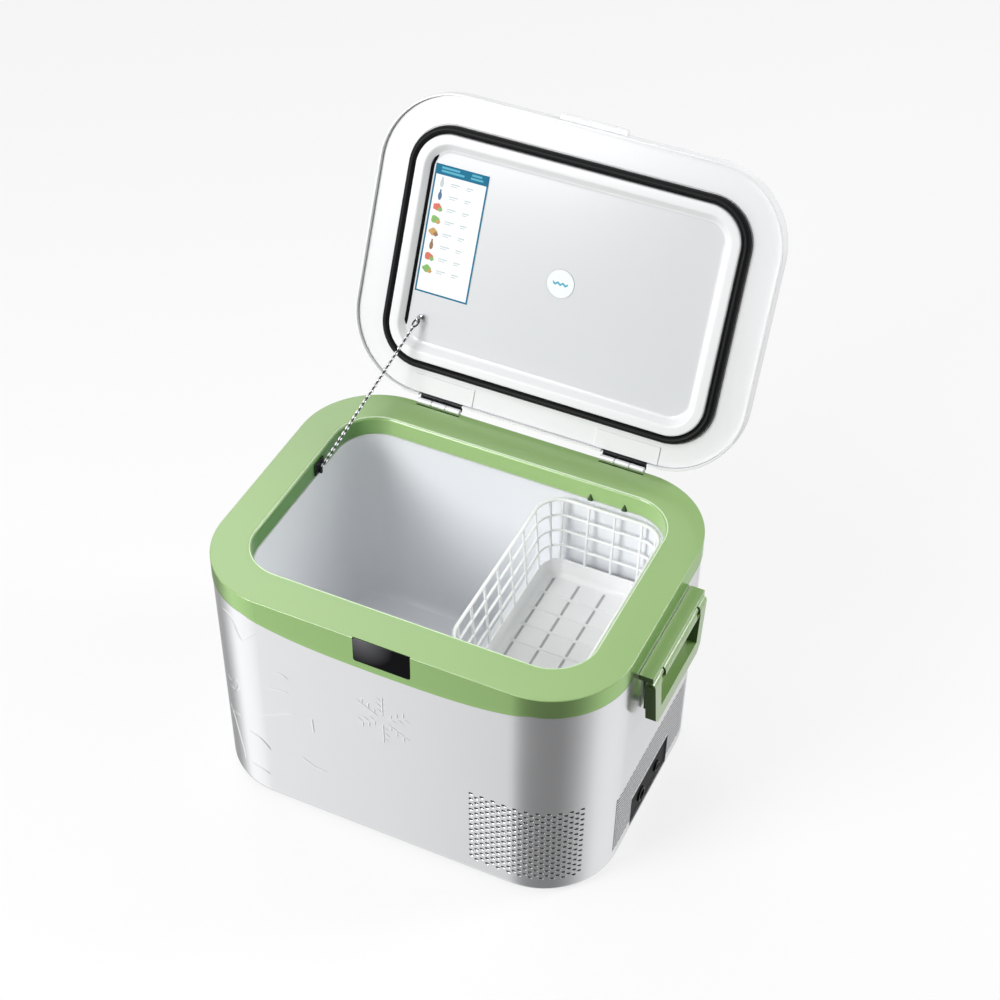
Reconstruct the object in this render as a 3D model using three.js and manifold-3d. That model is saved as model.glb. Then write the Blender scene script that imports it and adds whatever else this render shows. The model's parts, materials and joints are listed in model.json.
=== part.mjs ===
// Compressor cooler fridge with a hinged lid, two folding side handles and a lift-out basket.
// Millimetres, +Z up, +X to the right, front face towards -Y.
// The origin is the centre of the flat underside of the base pan.
import * as THREE from 'three';
import Module from 'manifold-3d';
import { mergeVertices } from 'three/addons/utils/BufferGeometryUtils.js';

const wasm = await Module();
wasm.setup();

// ---- driving dimensions -------------------------------------------------
const LENGTH = 480;              // body, left to right, at the collar
const DEPTH = 364;               // body, front to back, at the collar
const TOP = 309;                 // height of the collar's top face
const PLAN_RADIUS = 93;          // vertical corners of the body
const GAP = 0.3;                 // running and fitting gap between pieces
const CORNER_STEPS = 10;         // facets on each rounded corner

const SHELL_WALL = 3;
const SHELL_INSET_TOP = 0.6;     // the collar stands this proud of the shell
const SHELL_INSET_BASE = 5.3;    // draft of the shell at the floor
const PAN_THICKNESS = 4;
const FOOT_HEIGHT = 4;
const FOOT_RADIUS = 13;

const COLLAR_BAND = 26;          // depth of the green band at the corners
const APRON_DEPTH = 43;          // depth of the band at the middle of the front
const APRON_HALF = 165;          // half length of the deeper front stretch
const COLLAR_WALL = 3.5;
const DECK_THICKNESS = 3;
const THROAT_DEPTH = 23.7;       // green wall inside the opening
const OPENING = { x0: -197.5, x1: 197.5, y0: -134.5, y1: 139, r: 48.5 };

const LINER_WALL = 2;
const WELL_FLOOR = 41;           // height of the deep well's floor
const WELL_DRAFT = 12;           // how far the liner walls lean in at the floor
const STEP_X = 36;               // left edge of the raised step
const STEP_TOP = 174;            // height of the raised step
const BULKHEAD_X = 46;
const BAY_TOP = 158;             // roof of the machine bay

const HINGE_Y = 180.5;
const HINGE_Z = TOP + 3.6;
const HINGE_X = 113;             // each hinge's distance from the middle
const HINGE_LENGTH = 53;
const BARREL_RADIUS = 3.2;
const LID_OPEN_DEG = 113.5;      // how far the lid stands open, against its chain

const FLANGE_Z = TOP + 8.5;      // underside of the lid's flange when shut
const LID = { x0: -237, x1: 237, y0: -171.4, y1: 175.4, r: 90 };
const LID_SKIRT = 5;             // rim that hangs below the flange
const LID_SIDE = 13;             // upright side wall above the flange
const LID_HEIGHT = 36;           // flange to the top of the crown
const LID_SHOULDER = 26;         // how far the crown steps in
const LID_WALL = 2.5;
const SEAL = { x0: -191.6, x1: 191.6, y0: -126.6, y1: 135.2, r: 41.7 };
const SEAL_WIDTH = 9.2;
const SEAL_HEIGHT = 8;
const RECESS_EDGE = 12.4;        // width of the raised ring inside the seal
const RECESS_FLOOR = 19.7;       // where the sloped wall meets the floor

const HANDLE_HALF = 72;          // half length of a side handle
const HANDLE_TOP = TOP - 34;
const HANDLE_DROP = 79;          // top of the shelf to the foot of the grip
const HANDLE_AXIS_OUT = 253.2;   // the handle's hinge, from the middle
const HANDLE_AXIS_Z = TOP - 47.3;
const GRIP_HALF_THICKNESS = 6;
const SHELF_OUT = 256;           // outer edge of the shelf over the grip

const FAN = { x: 194, y: 15, z: 92, r: 46 };
const COMPRESSOR = { x: 116, y: 15, r: 50, z0: 22, height: 104 };

// ---- materials ----------------------------------------------------------
const finish = (color, roughness, metalness = 0) => () =>
  new THREE.MeshStandardMaterial({ color, roughness, metalness });
const paint = {
  white: finish(0xf1f2f4, 0.25),
  silver: finish(0xd9dbde, 0.3, 0.1),
  green: finish(0x9cc47c, 0.35),
  black: finish(0x121214, 0.4),
  glass: finish(0x050506, 0.06),
  rubber: finish(0x1a1a1b, 0.8),
  steel: finish(0xb8babd, 0.22, 1),
  darkSteel: finish(0x2b2c2e, 0.4, 0.8),
  copper: finish(0xb87345, 0.3, 1),
  aluminium: finish(0xb5b8bb, 0.4, 1),
  foam: finish(0xe8ddb5, 0.9),
  board: finish(0x1f5a37, 0.5),
  paper: finish(0xf7fafa, 0.5),
};

// ---- shape helpers ------------------------------------------------------
// A rounded rectangle moved in by `inset` on every side, as points run anticlockwise.
function outline(box, inset = 0, steps = CORNER_STEPS) {
  const r = Math.max(box.r - inset, 0.5);
  const corners = [
    [box.x1 - inset - r, box.y0 + inset + r, -90],
    [box.x1 - inset - r, box.y1 - inset - r, 0],
    [box.x0 + inset + r, box.y1 - inset - r, 90],
    [box.x0 + inset + r, box.y0 + inset + r, 180],
  ];
  const points = [];
  for (const [cx, cy, start] of corners) {
    for (let i = 0; i <= steps; i += 1) {
      const a = THREE.MathUtils.degToRad(start + (90 * i) / steps);
      points.push(new THREE.Vector2(cx + r * Math.cos(a), cy + r * Math.sin(a)));
    }
  }
  return points;
}

// A closed convex body through outlines at rising heights: levels are [z, inset].
function loft(box, levels, steps = CORNER_STEPS) {
  const position = [];
  const index = [];
  for (const [z, inset] of levels) {
    for (const p of outline(box, inset, steps)) position.push(p.x, p.y, z);
  }
  const n = position.length / 3 / levels.length;
  for (let k = 0; k + 1 < levels.length; k += 1) {
    for (let i = 0; i < n; i += 1) {
      const a = k * n + i;
      const b = k * n + ((i + 1) % n);
      index.push(a, b, b + n, a, b + n, a + n);
    }
  }
  const last = (levels.length - 1) * n;
  for (let i = 1; i + 1 < n; i += 1) {
    index.push(0, i + 1, i);
    index.push(last, last + i, last + i + 1);
  }
  const geometry = new THREE.BufferGeometry();
  geometry.setAttribute('position', new THREE.Float32BufferAttribute(position, 3));
  geometry.setIndex(index);
  return geometry;
}

const box = (x0, x1, y0, y1, z0, z1) =>
  new THREE.BoxGeometry(x1 - x0, y1 - y0, z1 - z0)
    .translate((x0 + x1) / 2, (y0 + y1) / 2, (z0 + z1) / 2);

// A cylinder along X, Y or Z, by its middle.
function rod(axis, radius, length, x, y, z, sides = 20) {
  const geometry = new THREE.CylinderGeometry(radius, radius, length, sides);
  if (axis === 'x') geometry.rotateZ(Math.PI / 2);
  if (axis === 'z') geometry.rotateX(Math.PI / 2);
  return geometry.translate(x, y, z);
}

function polygon(points) {
  return new THREE.Shape(points.map(([x, y]) => new THREE.Vector2(x, y)));
}

function extrude(shape, depth) {
  return new THREE.ExtrudeGeometry(shape, { depth, bevelEnabled: false, curveSegments: 8 });
}

// An outline drawn in Y and Z, given thickness along X from x0 to x1.
function slabYZ(shape, x0, x1) {
  return extrude(shape, x1 - x0).rotateX(Math.PI / 2).rotateZ(Math.PI / 2).translate(x0, 0, 0);
}

// An outline drawn in X and Z, given thickness along Y from y0 to y1.
function slabXZ(shape, y0, y1) {
  return extrude(shape, y1 - y0).rotateX(Math.PI / 2).translate(0, y1, 0);
}

// A round tube through points.
function tube(points, radius, sides = 8, steps = 24) {
  const section = new THREE.Shape();
  for (let i = 0; i < sides; i += 1) {
    const a = (2 * Math.PI * i) / sides;
    const move = i ? 'lineTo' : 'moveTo';
    section[move](radius * Math.cos(a), radius * Math.sin(a));
  }
  const path = new THREE.CatmullRomCurve3(points.map((p) => new THREE.Vector3(...p)));
  return new THREE.ExtrudeGeometry(section, { steps, extrudePath: path, bevelEnabled: false });
}

// ---- joins and cuts -----------------------------------------------------
function solid(geometry) {
  const bare = geometry.clone();
  bare.deleteAttribute('normal');
  bare.deleteAttribute('uv');
  const merged = mergeVertices(bare, 1e-4);
  const vertProperties = new Float32Array(merged.attributes.position.array);
  const triVerts = new Uint32Array(merged.index.array);
  return new wasm.Manifold(new wasm.Mesh({ numProp: 3, vertProperties, triVerts }));
}

function surface(manifold) {
  const result = manifold.getMesh();
  const geometry = new THREE.BufferGeometry();
  geometry.setAttribute('position', new THREE.Float32BufferAttribute(result.vertProperties, 3));
  geometry.setIndex(Array.from(result.triVerts));
  return geometry;
}

const join = (first, ...rest) =>
  surface(rest.reduce((sum, g) => sum.add(solid(g)), solid(first)));
const cut = (first, ...rest) =>
  surface(rest.reduce((left, g) => left.subtract(solid(g)), solid(first)));
const common = (first, second) => surface(solid(first).intersect(solid(second)));

// ---- the assembly -------------------------------------------------------
const fridge = new THREE.Group();

function add(name, geometry, material, parent = fridge) {
  const mesh = new THREE.Mesh(geometry, material());
  mesh.name = name;
  parent.add(mesh);
  return mesh;
}

const PLAN = { x0: -LENGTH / 2, x1: LENGTH / 2, y0: -DEPTH / 2, y1: DEPTH / 2, r: PLAN_RADIUS };
const SHELL_TOP = TOP - COLLAR_BAND - GAP;

// Inset of the shell's outer face at a height.
function shellInset(z) {
  return SHELL_INSET_BASE + (SHELL_INSET_TOP - SHELL_INSET_BASE) * (z / SHELL_TOP);
}

// The shell's outer form moved in by `inward`, between two heights.
function shellForm(z0, z1, inward) {
  return loft(PLAN, [[z0, shellInset(z0) + inward], [z1, shellInset(z1) + inward]]);
}

// The region of the front apron in X and Z, moved down by `drop`.
function apronShape(drop) {
  const high = TOP - COLLAR_BAND;
  const low = TOP - APRON_DEPTH - drop;
  const shape = new THREE.Shape();
  shape.moveTo(-APRON_HALF - 6 * drop, high + 1);
  shape.lineTo(-APRON_HALF - 6 * drop, high - drop);
  shape.bezierCurveTo(-120, low + 2, -70, low, 0, low);
  shape.bezierCurveTo(70, low, 120, low + 2, APRON_HALF + 6 * drop, high - drop);
  shape.lineTo(APRON_HALF + 6 * drop, high + 1);
  return shape;
}

// ---- windows through the shell for grilles and the power panel ----------
const VENT = { x0: 98, z0: 20, z1: 132, side: -112 };
const SIDE_VENT = { y0: -102, y1: 98, z0: 12, z1: 106 };
const PANEL = { y0: -53, y1: 53, z0: 9, z1: 55 };

const cornerWindow = (grow) =>
  box(VENT.x0 - grow, 260, -200, VENT.side + grow, VENT.z0 - grow, VENT.z1 + grow);
const rearWindow = (grow) =>
  box(VENT.x0 - grow, 260, -VENT.side - grow, 200, VENT.z0 - grow, VENT.z1 + grow);
const sideWindow = (grow) =>
  box(200, 260, SIDE_VENT.y0 - grow, SIDE_VENT.y1 + grow, SIDE_VENT.z0 - grow, SIDE_VENT.z1 + grow);
const panelWindow = (grow) =>
  box(200, 260, PANEL.y0 - grow, PANEL.y1 + grow, PANEL.z0 - grow, PANEL.z1 + grow);

function shellSkin() {
  return cut(shellForm(0, SHELL_TOP, 0), shellForm(-1, SHELL_TOP + 1, SHELL_WALL));
}

function outerShell() {
  const notch = slabXZ(apronShape(GAP), -200, -100);
  return cut(shellSkin(), notch, cornerWindow(0), rearWindow(0), sideWindow(0), panelWindow(0));
}

const grillePatch = (windowBox) => common(shellSkin(), windowBox(-GAP));

function basePan() {
  const edge = SHELL_WALL + GAP;
  return shellForm(0, PAN_THICKNESS, edge);
}

function addFeet() {
  for (const [side, x] of [['left', -165], ['right', 165]]) {
    for (const [end, y] of [['front', -112], ['rear', 112]]) {
      const foot = rod('z', FOOT_RADIUS, FOOT_HEIGHT - GAP, x, y, -(FOOT_HEIGHT + GAP) / 2, 20);
      add(`foot_${end}_${side}`, foot, paint.rubber);
    }
  }
}

// ---- collar -------------------------------------------------------------
const GLASS = { x0: -31.5, x1: 34.5, z0: TOP - 33, z1: TOP - 0.5 };
const HOOK_XS = [94, 134.5];      // two lugs at the back of the opening keep the basket down

// A small wedge on the back wall of the throat, wide at its foot.
function basketHook(x) {
  const foot = TOP - THROAT_DEPTH + GAP;
  const shape = polygon([[x - 4, foot], [x + 4, foot], [x, foot + 8]]);
  return slabXZ(shape, OPENING.y1 - 3, OPENING.y1 + 1);
}

function collar() {
  const band = loft(PLAN, [[TOP - COLLAR_BAND, 0], [TOP, 0]]);
  const throat = loft(OPENING, [[TOP - 60, 0], [TOP + 1, 0]]);
  const channel = cut(
    loft(PLAN, [[TOP - COLLAR_BAND - 1, COLLAR_WALL], [TOP - DECK_THICKNESS, COLLAR_WALL]]),
    loft(OPENING, [[TOP - THROAT_DEPTH, -3], [TOP, -3]]),
  );
  const ring = cut(
    loft(PLAN, [[TOP - APRON_DEPTH - 2, 0], [TOP - COLLAR_BAND + 1, 0]]),
    loft(PLAN, [[TOP - APRON_DEPTH - 3, COLLAR_WALL], [TOP, COLLAR_WALL]]),
  );
  const apron = common(ring, slabXZ(apronShape(0), -200, -100));
  const pocket = box(GLASS.x0, GLASS.x1, -190, -DEPTH / 2 + 1.6, GLASS.z0, TOP + 1);
  const sight = box(GLASS.x0 + 5, GLASS.x1 - 5, -190, -170, GLASS.z0 + 4, TOP - 6);
  const frame = cut(join(cut(band, channel), apron), throat, pocket, sight);
  return join(frame, ...HOOK_XS.map(basketHook));
}

function displayGlass() {
  const g = GAP / 2;
  const y = -DEPTH / 2;
  return box(GLASS.x0 + g, GLASS.x1 - g, y, y + 1.3, GLASS.z0 + g, GLASS.z1 - g);
}

const displayModule = () =>
  box(GLASS.x0 + 6, GLASS.x1 - 6, -DEPTH / 2 + 1.9, -DEPTH / 2 + 8, GLASS.z0 + 5, TOP - 7);
const controlBoard = () =>
  box(GLASS.x0 - 12, GLASS.x1 + 12, -DEPTH / 2 + 10, -DEPTH / 2 + 11.6, TOP - 27, TOP - 5);

// ---- liner, foam and evaporator ----------------------------------------
const LINER_TOP = TOP - THROAT_DEPTH - GAP;

const linerForm = (z0, z1, outward) => {
  const lean = (z) => WELL_DRAFT * (LINER_TOP - z) / (LINER_TOP - WELL_FLOOR);
  return loft(OPENING, [[z0, lean(z0) - outward], [z1, lean(z1) - outward]]);
};
const stepBlock = (clear) =>
  box(STEP_X + clear, 260, -220, 220, -20, STEP_TOP - clear);

function liner() {
  const outer = cut(linerForm(WELL_FLOOR - LINER_WALL, LINER_TOP, LINER_WALL), stepBlock(LINER_WALL));
  const hollow = cut(linerForm(WELL_FLOOR, LINER_TOP + 1, 0), stepBlock(0));
  return cut(outer, hollow);
}

const EVAP = { x0: -160, x1: -10, z0: 70, z1: 230 };

function foam() {
  const block = shellForm(PAN_THICKNESS + GAP, TOP - APRON_DEPTH - 1, SHELL_WALL + 1);
  const top = loft(PLAN, [[TOP - APRON_DEPTH - 2, SHELL_WALL + 1.6], [TOP - 30, SHELL_WALL + 1.6]]);
  const hole = cut(
    linerForm(WELL_FLOOR - LINER_WALL - GAP, LINER_TOP + 1, LINER_WALL + GAP),
    stepBlock(LINER_WALL + GAP),
  );
  const bay = box(BULKHEAD_X, 260, -220, 220, -10, BAY_TOP);
  const pocket = box(EVAP.x0 - 6, EVAP.x1 + 6, 100, 146, EVAP.z0 - 6, EVAP.z1 + 6);
  return cut(join(block, top), hole, bay, pocket);
}

const EVAP_Y = 143;
const evaporatorPlate = () => box(EVAP.x0, EVAP.x1, EVAP_Y - 1.2, EVAP_Y, EVAP.z0, EVAP.z1);

// ---- machine bay --------------------------------------------------------
const bulkhead = () => box(BULKHEAD_X + GAP, BULKHEAD_X + 1.5, -158, 158, 6, BAY_TOP - 2);

function compressor() {
  const { r, height } = COMPRESSOR;
  const profile = [
    [0, 0], [r - 12, 0], [r - 2, 10], [r - 2, height * 0.48], [r, height * 0.48],
    [r, height * 0.54], [r - 2, height * 0.54], [r - 2, height - 26], [r - 14, height - 7],
    [0, height],
  ].map(([x, y]) => new THREE.Vector2(x, y));
  const body = new THREE.LatheGeometry(profile, 32).rotateX(Math.PI / 2);
  const plate = box(-58, 58, -34, 34, -3, 1);
  return join(body, plate).translate(COMPRESSOR.x, COMPRESSOR.y, COMPRESSOR.z0);
}

function addGrommets() {
  const z0 = PAN_THICKNESS + GAP;
  const z1 = COMPRESSOR.z0 - 3 - GAP;
  for (const [name, dx, dy] of [['left', -50, 0], ['front', 50, -26], ['rear', 50, 26]]) {
    const leg = rod('z', 7, z1 - z0, COMPRESSOR.x + dx, COMPRESSOR.y + dy, (z0 + z1) / 2, 16);
    add(`compressor_grommet_${name}`, leg, paint.rubber);
  }
}

const CONDENSER = { x0: 209, x1: 228, y0: -60, y1: 90, z0: 58, z1: 148 };

function condenser() {
  const c = CONDENSER;
  const count = 11;
  const pitch = (c.y1 - c.y0) / count;
  const slots = [];
  for (let i = 1; i < count; i += 1) {
    const y = c.y0 + pitch * i;
    slots.push(box(c.x0 - 1, c.x1 - 5, y - 3.5, y + 3.5, c.z0 + 6, c.z1 - 6));
  }
  return cut(box(c.x0, c.x1, c.y0, c.y1, c.z0, c.z1), ...slots);
}

function fanShroud() {
  const half = FAN.r + 6;
  const frame = box(FAN.x - 10, FAN.x + 12, FAN.y - half, FAN.y + half, FAN.z - half, FAN.z + half);
  const duct = rod('x', FAN.r + 2.5, 60, FAN.x, FAN.y, FAN.z, 36);
  const strutA = box(FAN.x + 8, FAN.x + 12, FAN.y - half + 1, FAN.y + half - 1, FAN.z - 4, FAN.z + 4);
  const strutB = box(FAN.x + 8, FAN.x + 12, FAN.y - 4, FAN.y + 4, FAN.z - half + 1, FAN.z + half - 1);
  const motor = rod('x', 17, 4, FAN.x + 10, FAN.y, FAN.z, 24);
  return join(cut(frame, duct), strutA, strutB, motor);
}

function fanRotor() {
  const blades = [];
  const count = 7;
  for (let i = 0; i < count; i += 1) {
    const blade = box(-1, 1, 14, FAN.r, -11, 11);
    blade.rotateY(THREE.MathUtils.degToRad(55));
    blade.rotateX((2 * Math.PI * i) / count);
    blades.push(blade);
  }
  const hub = rod('x', 18, 15, 0, 0, 0, 24);
  const trimmed = common(join(hub, ...blades), rod('x', FAN.r, 15, 0, 0, 0, 36));
  return trimmed.translate(FAN.x - 1, FAN.y, FAN.z);
}

const filterDrier = () => {
  const profile = [[0, 0], [3, 0], [3, 6], [10, 14], [10, 76], [3, 84], [3, 90], [0, 90]]
    .map(([x, y]) => new THREE.Vector2(x, y));
  return new THREE.LatheGeometry(profile, 18).rotateX(Math.PI / 2).translate(74, 118, 40);
};

function powerBoard() {
  const base = box(64, 164, -150, -118, 12, 78);
  const fins = [];
  for (let i = 0; i < 9; i += 1) fins.push(box(69 + i * 10.5, 75 + i * 10.5, -119, -112, 16, 74));
  return join(base, ...fins);
}

const dischargeTube = () =>
  tube([[140, 15, 130], [142, 40, 144], [160, 88, 149], [190, 108, 142], [216, 112, 116],
    [218, 104, 90], [218, 94, 80]], 3, 8, 28);
const suctionTube = () =>
  tube([[92, 15, 129], [84, 30, 143], [70, 70, 150], [62, 100, 150], [66, 112, 142],
    [73, 118, 137], [74, 118, 131]], 3, 8, 28);

// ---- power panel --------------------------------------------------------
const SOCKET = { y: -19, z: 28, r: 9 };
const FUSE = { y: 26, z: 28, r: 7 };

function sideGrille() {
  return cut(grillePatch(sideWindow), panelWindow(0));
}

function powerPanel() {
  const face = common(shellForm(0, 200, 1), panelWindow(-GAP));
  const inner = cut(face, shellForm(-1, 201, 4.5));
  const socketHole = rod('x', SOCKET.r + GAP, 60, 236, SOCKET.y, SOCKET.z, 24);
  const fuseHole = rod('x', FUSE.r + GAP, 60, 236, FUSE.y, FUSE.z, 20);
  return cut(inner, socketHole, fuseHole);
}

function dcSocket() {
  const face = LENGTH / 2 - shellInset(SOCKET.z) - 0.2;
  const barrel = rod('x', SOCKET.r, 18, face - 9, SOCKET.y, SOCKET.z, 24);
  const bore = rod('x', SOCKET.r - 2.5, 16, face - 5, SOCKET.y, SOCKET.z, 24);
  const blade = box(face - 16, face - 5, SOCKET.y - 3.5, SOCKET.y + 3.5, SOCKET.z - 1, SOCKET.z + 1);
  return join(cut(barrel, bore), blade);
}

function fuseCap() {
  const face = LENGTH / 2 - shellInset(FUSE.z) - 0.2;
  const cap = rod('x', FUSE.r, 14, face - 7, FUSE.y, FUSE.z, 20);
  return cut(cap, box(face - 1.5, face + 1, FUSE.y - 5, FUSE.y + 5, FUSE.z - 0.8, FUSE.z + 0.8));
}

// ---- basket -------------------------------------------------------------
const BASKET = { x0: 44, x1: 190, y0: -128, y1: 131, r: 30 };
const BASKET_TOP = LINER_TOP - 0.3;
const BASKET_BASE = STEP_TOP + GAP;
const BASKET_DRAFT = 8;
const BASKET_WALL = 2.6;

function basket() {
  const tray = loft(BASKET, [[BASKET_BASE, BASKET_DRAFT], [BASKET_TOP, 0]]);
  const well = loft(BASKET, [
    [BASKET_BASE + 3, BASKET_DRAFT + BASKET_WALL - 0.3], [BASKET_TOP + 1, BASKET_WALL - 0.1],
  ]);
  const z0 = BASKET_BASE + 22;
  const z1 = BASKET_TOP - 6;
  const openings = [];
  for (let i = 0; i < 4; i += 1) {
    const y = BASKET.y0 + 32 + i * 49.5;
    openings.push(box(BASKET.x0 - 20, BASKET.x1 + 20, y, y + 46, z0, z1));
  }
  for (let i = 0; i < 2; i += 1) {
    const x = BASKET.x0 + 32 + i * 43;
    openings.push(box(x, x + 39, BASKET.y0 - 20, BASKET.y1 + 20, z0, z1));
  }
  for (let i = 0; i < 3; i += 1) {
    const x = (BASKET.x0 + BASKET.x1) / 2 + (i - 1) * 30;
    openings.push(box(x - 1.2, x + 1.2, BASKET.y0 + 30, BASKET.y1 - 30, BASKET_BASE - 2, BASKET_BASE + 5));
  }
  return cut(tray, well, ...openings);
}

// ---- side handles -------------------------------------------------------
const LUG = { inner: 44, outer: 53 };
const PIN_RADIUS = 2;

function handleBracket() {
  const wall = LENGTH / 2 - shellInset(HANDLE_TOP) + GAP;
  const shelf = box(wall, SHELF_OUT, -HANDLE_HALF, HANDLE_HALF, HANDLE_TOP - 7, HANDLE_TOP);
  const back = box(wall, wall + 2.6, -50, 50, HANDLE_TOP - 73, HANDLE_TOP - 1);
  const lugs = [-1, 1].map((s) => {
    const y0 = s > 0 ? LUG.inner : -LUG.outer;
    const web = box(wall + 1, HANDLE_AXIS_OUT, y0, y0 + 9, HANDLE_AXIS_Z - 4, HANDLE_TOP - 2);
    return join(web, rod('y', 4, 9, HANDLE_AXIS_OUT, y0 + 4.5, HANDLE_AXIS_Z, 20));
  });
  const bore = rod('y', PIN_RADIUS + GAP, 200, HANDLE_AXIS_OUT, 0, HANDLE_AXIS_Z, 16);
  return cut(join(shelf, back, ...lugs), bore);
}

function handleGrip() {
  const t = GRIP_HALF_THICKNESS;
  const foot = HANDLE_TOP - HANDLE_DROP;
  const lean = 10;
  const plate = slabYZ(polygon([
    [-HANDLE_HALF, HANDLE_AXIS_Z], [-HANDLE_HALF + lean - 1, foot + 8],
    [-HANDLE_HALF + lean + 7, foot], [HANDLE_HALF - lean - 7, foot],
    [HANDLE_HALF - lean + 1, foot + 8], [HANDLE_HALF, HANDLE_AXIS_Z],
  ]), HANDLE_AXIS_OUT - t, HANDLE_AXIS_OUT + t);
  const head = rod('y', t - 0.3, 2 * HANDLE_HALF, HANDLE_AXIS_OUT, 0, HANDLE_AXIS_Z, 24);
  const hand = slabYZ(polygon([
    [-55, HANDLE_AXIS_Z - t], [-50, foot + 20], [50, foot + 20], [55, HANDLE_AXIS_Z - t],
  ]), 200, 300);
  const notches = [-1, 1].map((s) => {
    const y0 = s > 0 ? LUG.inner : -LUG.outer;
    return box(200, 300, y0 - 0.5, y0 + 9.5, HANDLE_AXIS_Z - 5.5, HANDLE_AXIS_Z + 20);
  });
  const bore = rod('y', PIN_RADIUS + GAP, 200, HANDLE_AXIS_OUT, 0, HANDLE_AXIS_Z, 16);
  return cut(join(plate, head), hand, ...notches, bore);
}

const handlePin = () =>
  rod('y', PIN_RADIUS, 2 * LUG.outer + 8, HANDLE_AXIS_OUT, 0, HANDLE_AXIS_Z, 16);

function addHandles() {
  for (const [side, turn] of [['right', 0], ['left', Math.PI]]) {
    const group = new THREE.Group();
    group.rotation.z = turn;
    fridge.add(group);
    add(`handle_bracket_${side}`, handleBracket(), paint.green, group);
    add(`handle_grip_${side}`, handleGrip(), paint.green, group);
    add(`handle_pin_${side}`, handlePin(), paint.steel, group);
  }
}

// ---- lid, drawn shut and then swung open about its hinge ----------------
const lid = new THREE.Group();
lid.position.set(0, HINGE_Y, HINGE_Z);
lid.rotation.x = -THREE.MathUtils.degToRad(LID_OPEN_DEG);
fridge.add(lid);

const addToLid = (name, geometry, material) =>
  add(name, geometry.translate(0, -HINGE_Y, -HINGE_Z), material, lid);

function lidForm(inward, z0) {
  const side = FLANGE_Z + LID_SIDE;
  const crown = FLANGE_Z + LID_HEIGHT;
  return loft(LID, [
    [z0, inward], [side, inward], [side + 6, inward + 4], [crown - 9, inward + LID_SHOULDER - 8],
    [crown - 3 - inward, inward + LID_SHOULDER], [crown - inward, inward + LID_SHOULDER + 16],
  ]);
}

const hingeNotch = (x) =>
  box(x - HINGE_LENGTH / 2 - 1, x + HINGE_LENGTH / 2 + 1, 160, 200, TOP, FLANGE_Z + 2.6);

function lidCover() {
  const skirt = FLANGE_Z - LID_SKIRT;
  const hollow = lidForm(LID_WALL, skirt - 1);
  const lip = box(-38, 42, LID.y0 - 6, LID.y0 + 4, FLANGE_Z + 2, FLANGE_Z + 10);
  const body = join(lidForm(0, skirt), lip);
  return cut(body, hollow, hingeNotch(-HINGE_X), hingeNotch(HINGE_X));
}

function lidPanel() {
  const edge = LID_WALL + GAP;
  const flange = loft(LID, [[FLANGE_Z, edge], [FLANGE_Z + 2.3, edge]]);
  const ring = loft(SEAL, [[FLANGE_Z - SEAL_HEIGHT, GAP + 1.5], [FLANGE_Z - SEAL_HEIGHT + 1.5, GAP],
    [FLANGE_Z + 1, GAP]]);
  const recess = loft(SEAL, [
    [FLANGE_Z - SEAL_HEIGHT - 1, RECESS_EDGE - 0.9], [FLANGE_Z, RECESS_FLOOR],
  ]);
  return cut(join(flange, cut(ring, recess)), hingeNotch(-HINGE_X), hingeNotch(HINGE_X));
}

function lidFoam() {
  const z0 = FLANGE_Z + 2.3 + GAP;
  const block = lidForm(LID_WALL + 1, z0);
  return cut(block, hingeNotch(-HINGE_X), hingeNotch(HINGE_X));
}

function lidSeal() {
  const crest = FLANGE_Z - SEAL_HEIGHT - GAP + 0.1;
  const outer = loft(SEAL, [
    [crest, 2.2 - SEAL_WIDTH], [crest + 2, -SEAL_WIDTH], [FLANGE_Z - GAP, -SEAL_WIDTH],
  ]);
  const inner = loft(SEAL, [[crest - 1, -2.8], [crest + 2, 0], [FLANGE_Z, 0]]);
  return cut(outer, inner);
}

// Each hinge: fixed leaf and outer knuckles on the collar, middle knuckle on the lid.
const KNUCKLE = HINGE_LENGTH / 3;

function hingeFixedLeaf(x) {
  const bore = rod('x', 1.6, 80, x, HINGE_Y, HINGE_Z, 14);
  const ends = [-1, 1].map((s) =>
    rod('x', BARREL_RADIUS, KNUCKLE - 0.5, x + s * KNUCKLE, HINGE_Y, HINGE_Z, 20));
  const half = HINGE_LENGTH / 2 - 0.3;
  const leaf = box(x - half, x + half, DEPTH / 2 + GAP, DEPTH / 2 + 1.8, TOP - 20, TOP - 1);
  const webs = [-1, 1].map((s) => {
    const mid = x + s * KNUCKLE;
    return box(mid - KNUCKLE / 2 + 0.3, mid + KNUCKLE / 2 - 0.3,
      DEPTH / 2 + GAP, DEPTH / 2 + 1.8, TOP - 2, HINGE_Z);
  });
  return cut(join(leaf, ...webs, ...ends), bore);
}

function hingeLidLeaf(x) {
  const bore = rod('x', 1.6, 80, x, HINGE_Y, HINGE_Z, 14);
  const knuckle = rod('x', BARREL_RADIUS, KNUCKLE - 0.5, x, HINGE_Y, HINGE_Z, 20);
  const half = HINGE_LENGTH / 2 - 0.3;
  const web = box(x - KNUCKLE / 2 + 0.3, x + KNUCKLE / 2 - 0.3, HINGE_Y - 2, HINGE_Y + 1.5,
    HINGE_Z, FLANGE_Z + 1.8);
  const plate = box(x - half, x + half, HINGE_Y - 19, HINGE_Y + 1.5, FLANGE_Z + 0.4, FLANGE_Z + 1.8);
  return cut(join(knuckle, web, plate), bore);
}

const hingePin = (x) => rod('x', 1.3, HINGE_LENGTH, x, HINGE_Y, HINGE_Z, 14);
const hingePad = (x) =>
  box(x - 38, x + 38, HINGE_Y - 29, HINGE_Y - 8.2, FLANGE_Z - 1.2, FLANGE_Z - GAP);

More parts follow.
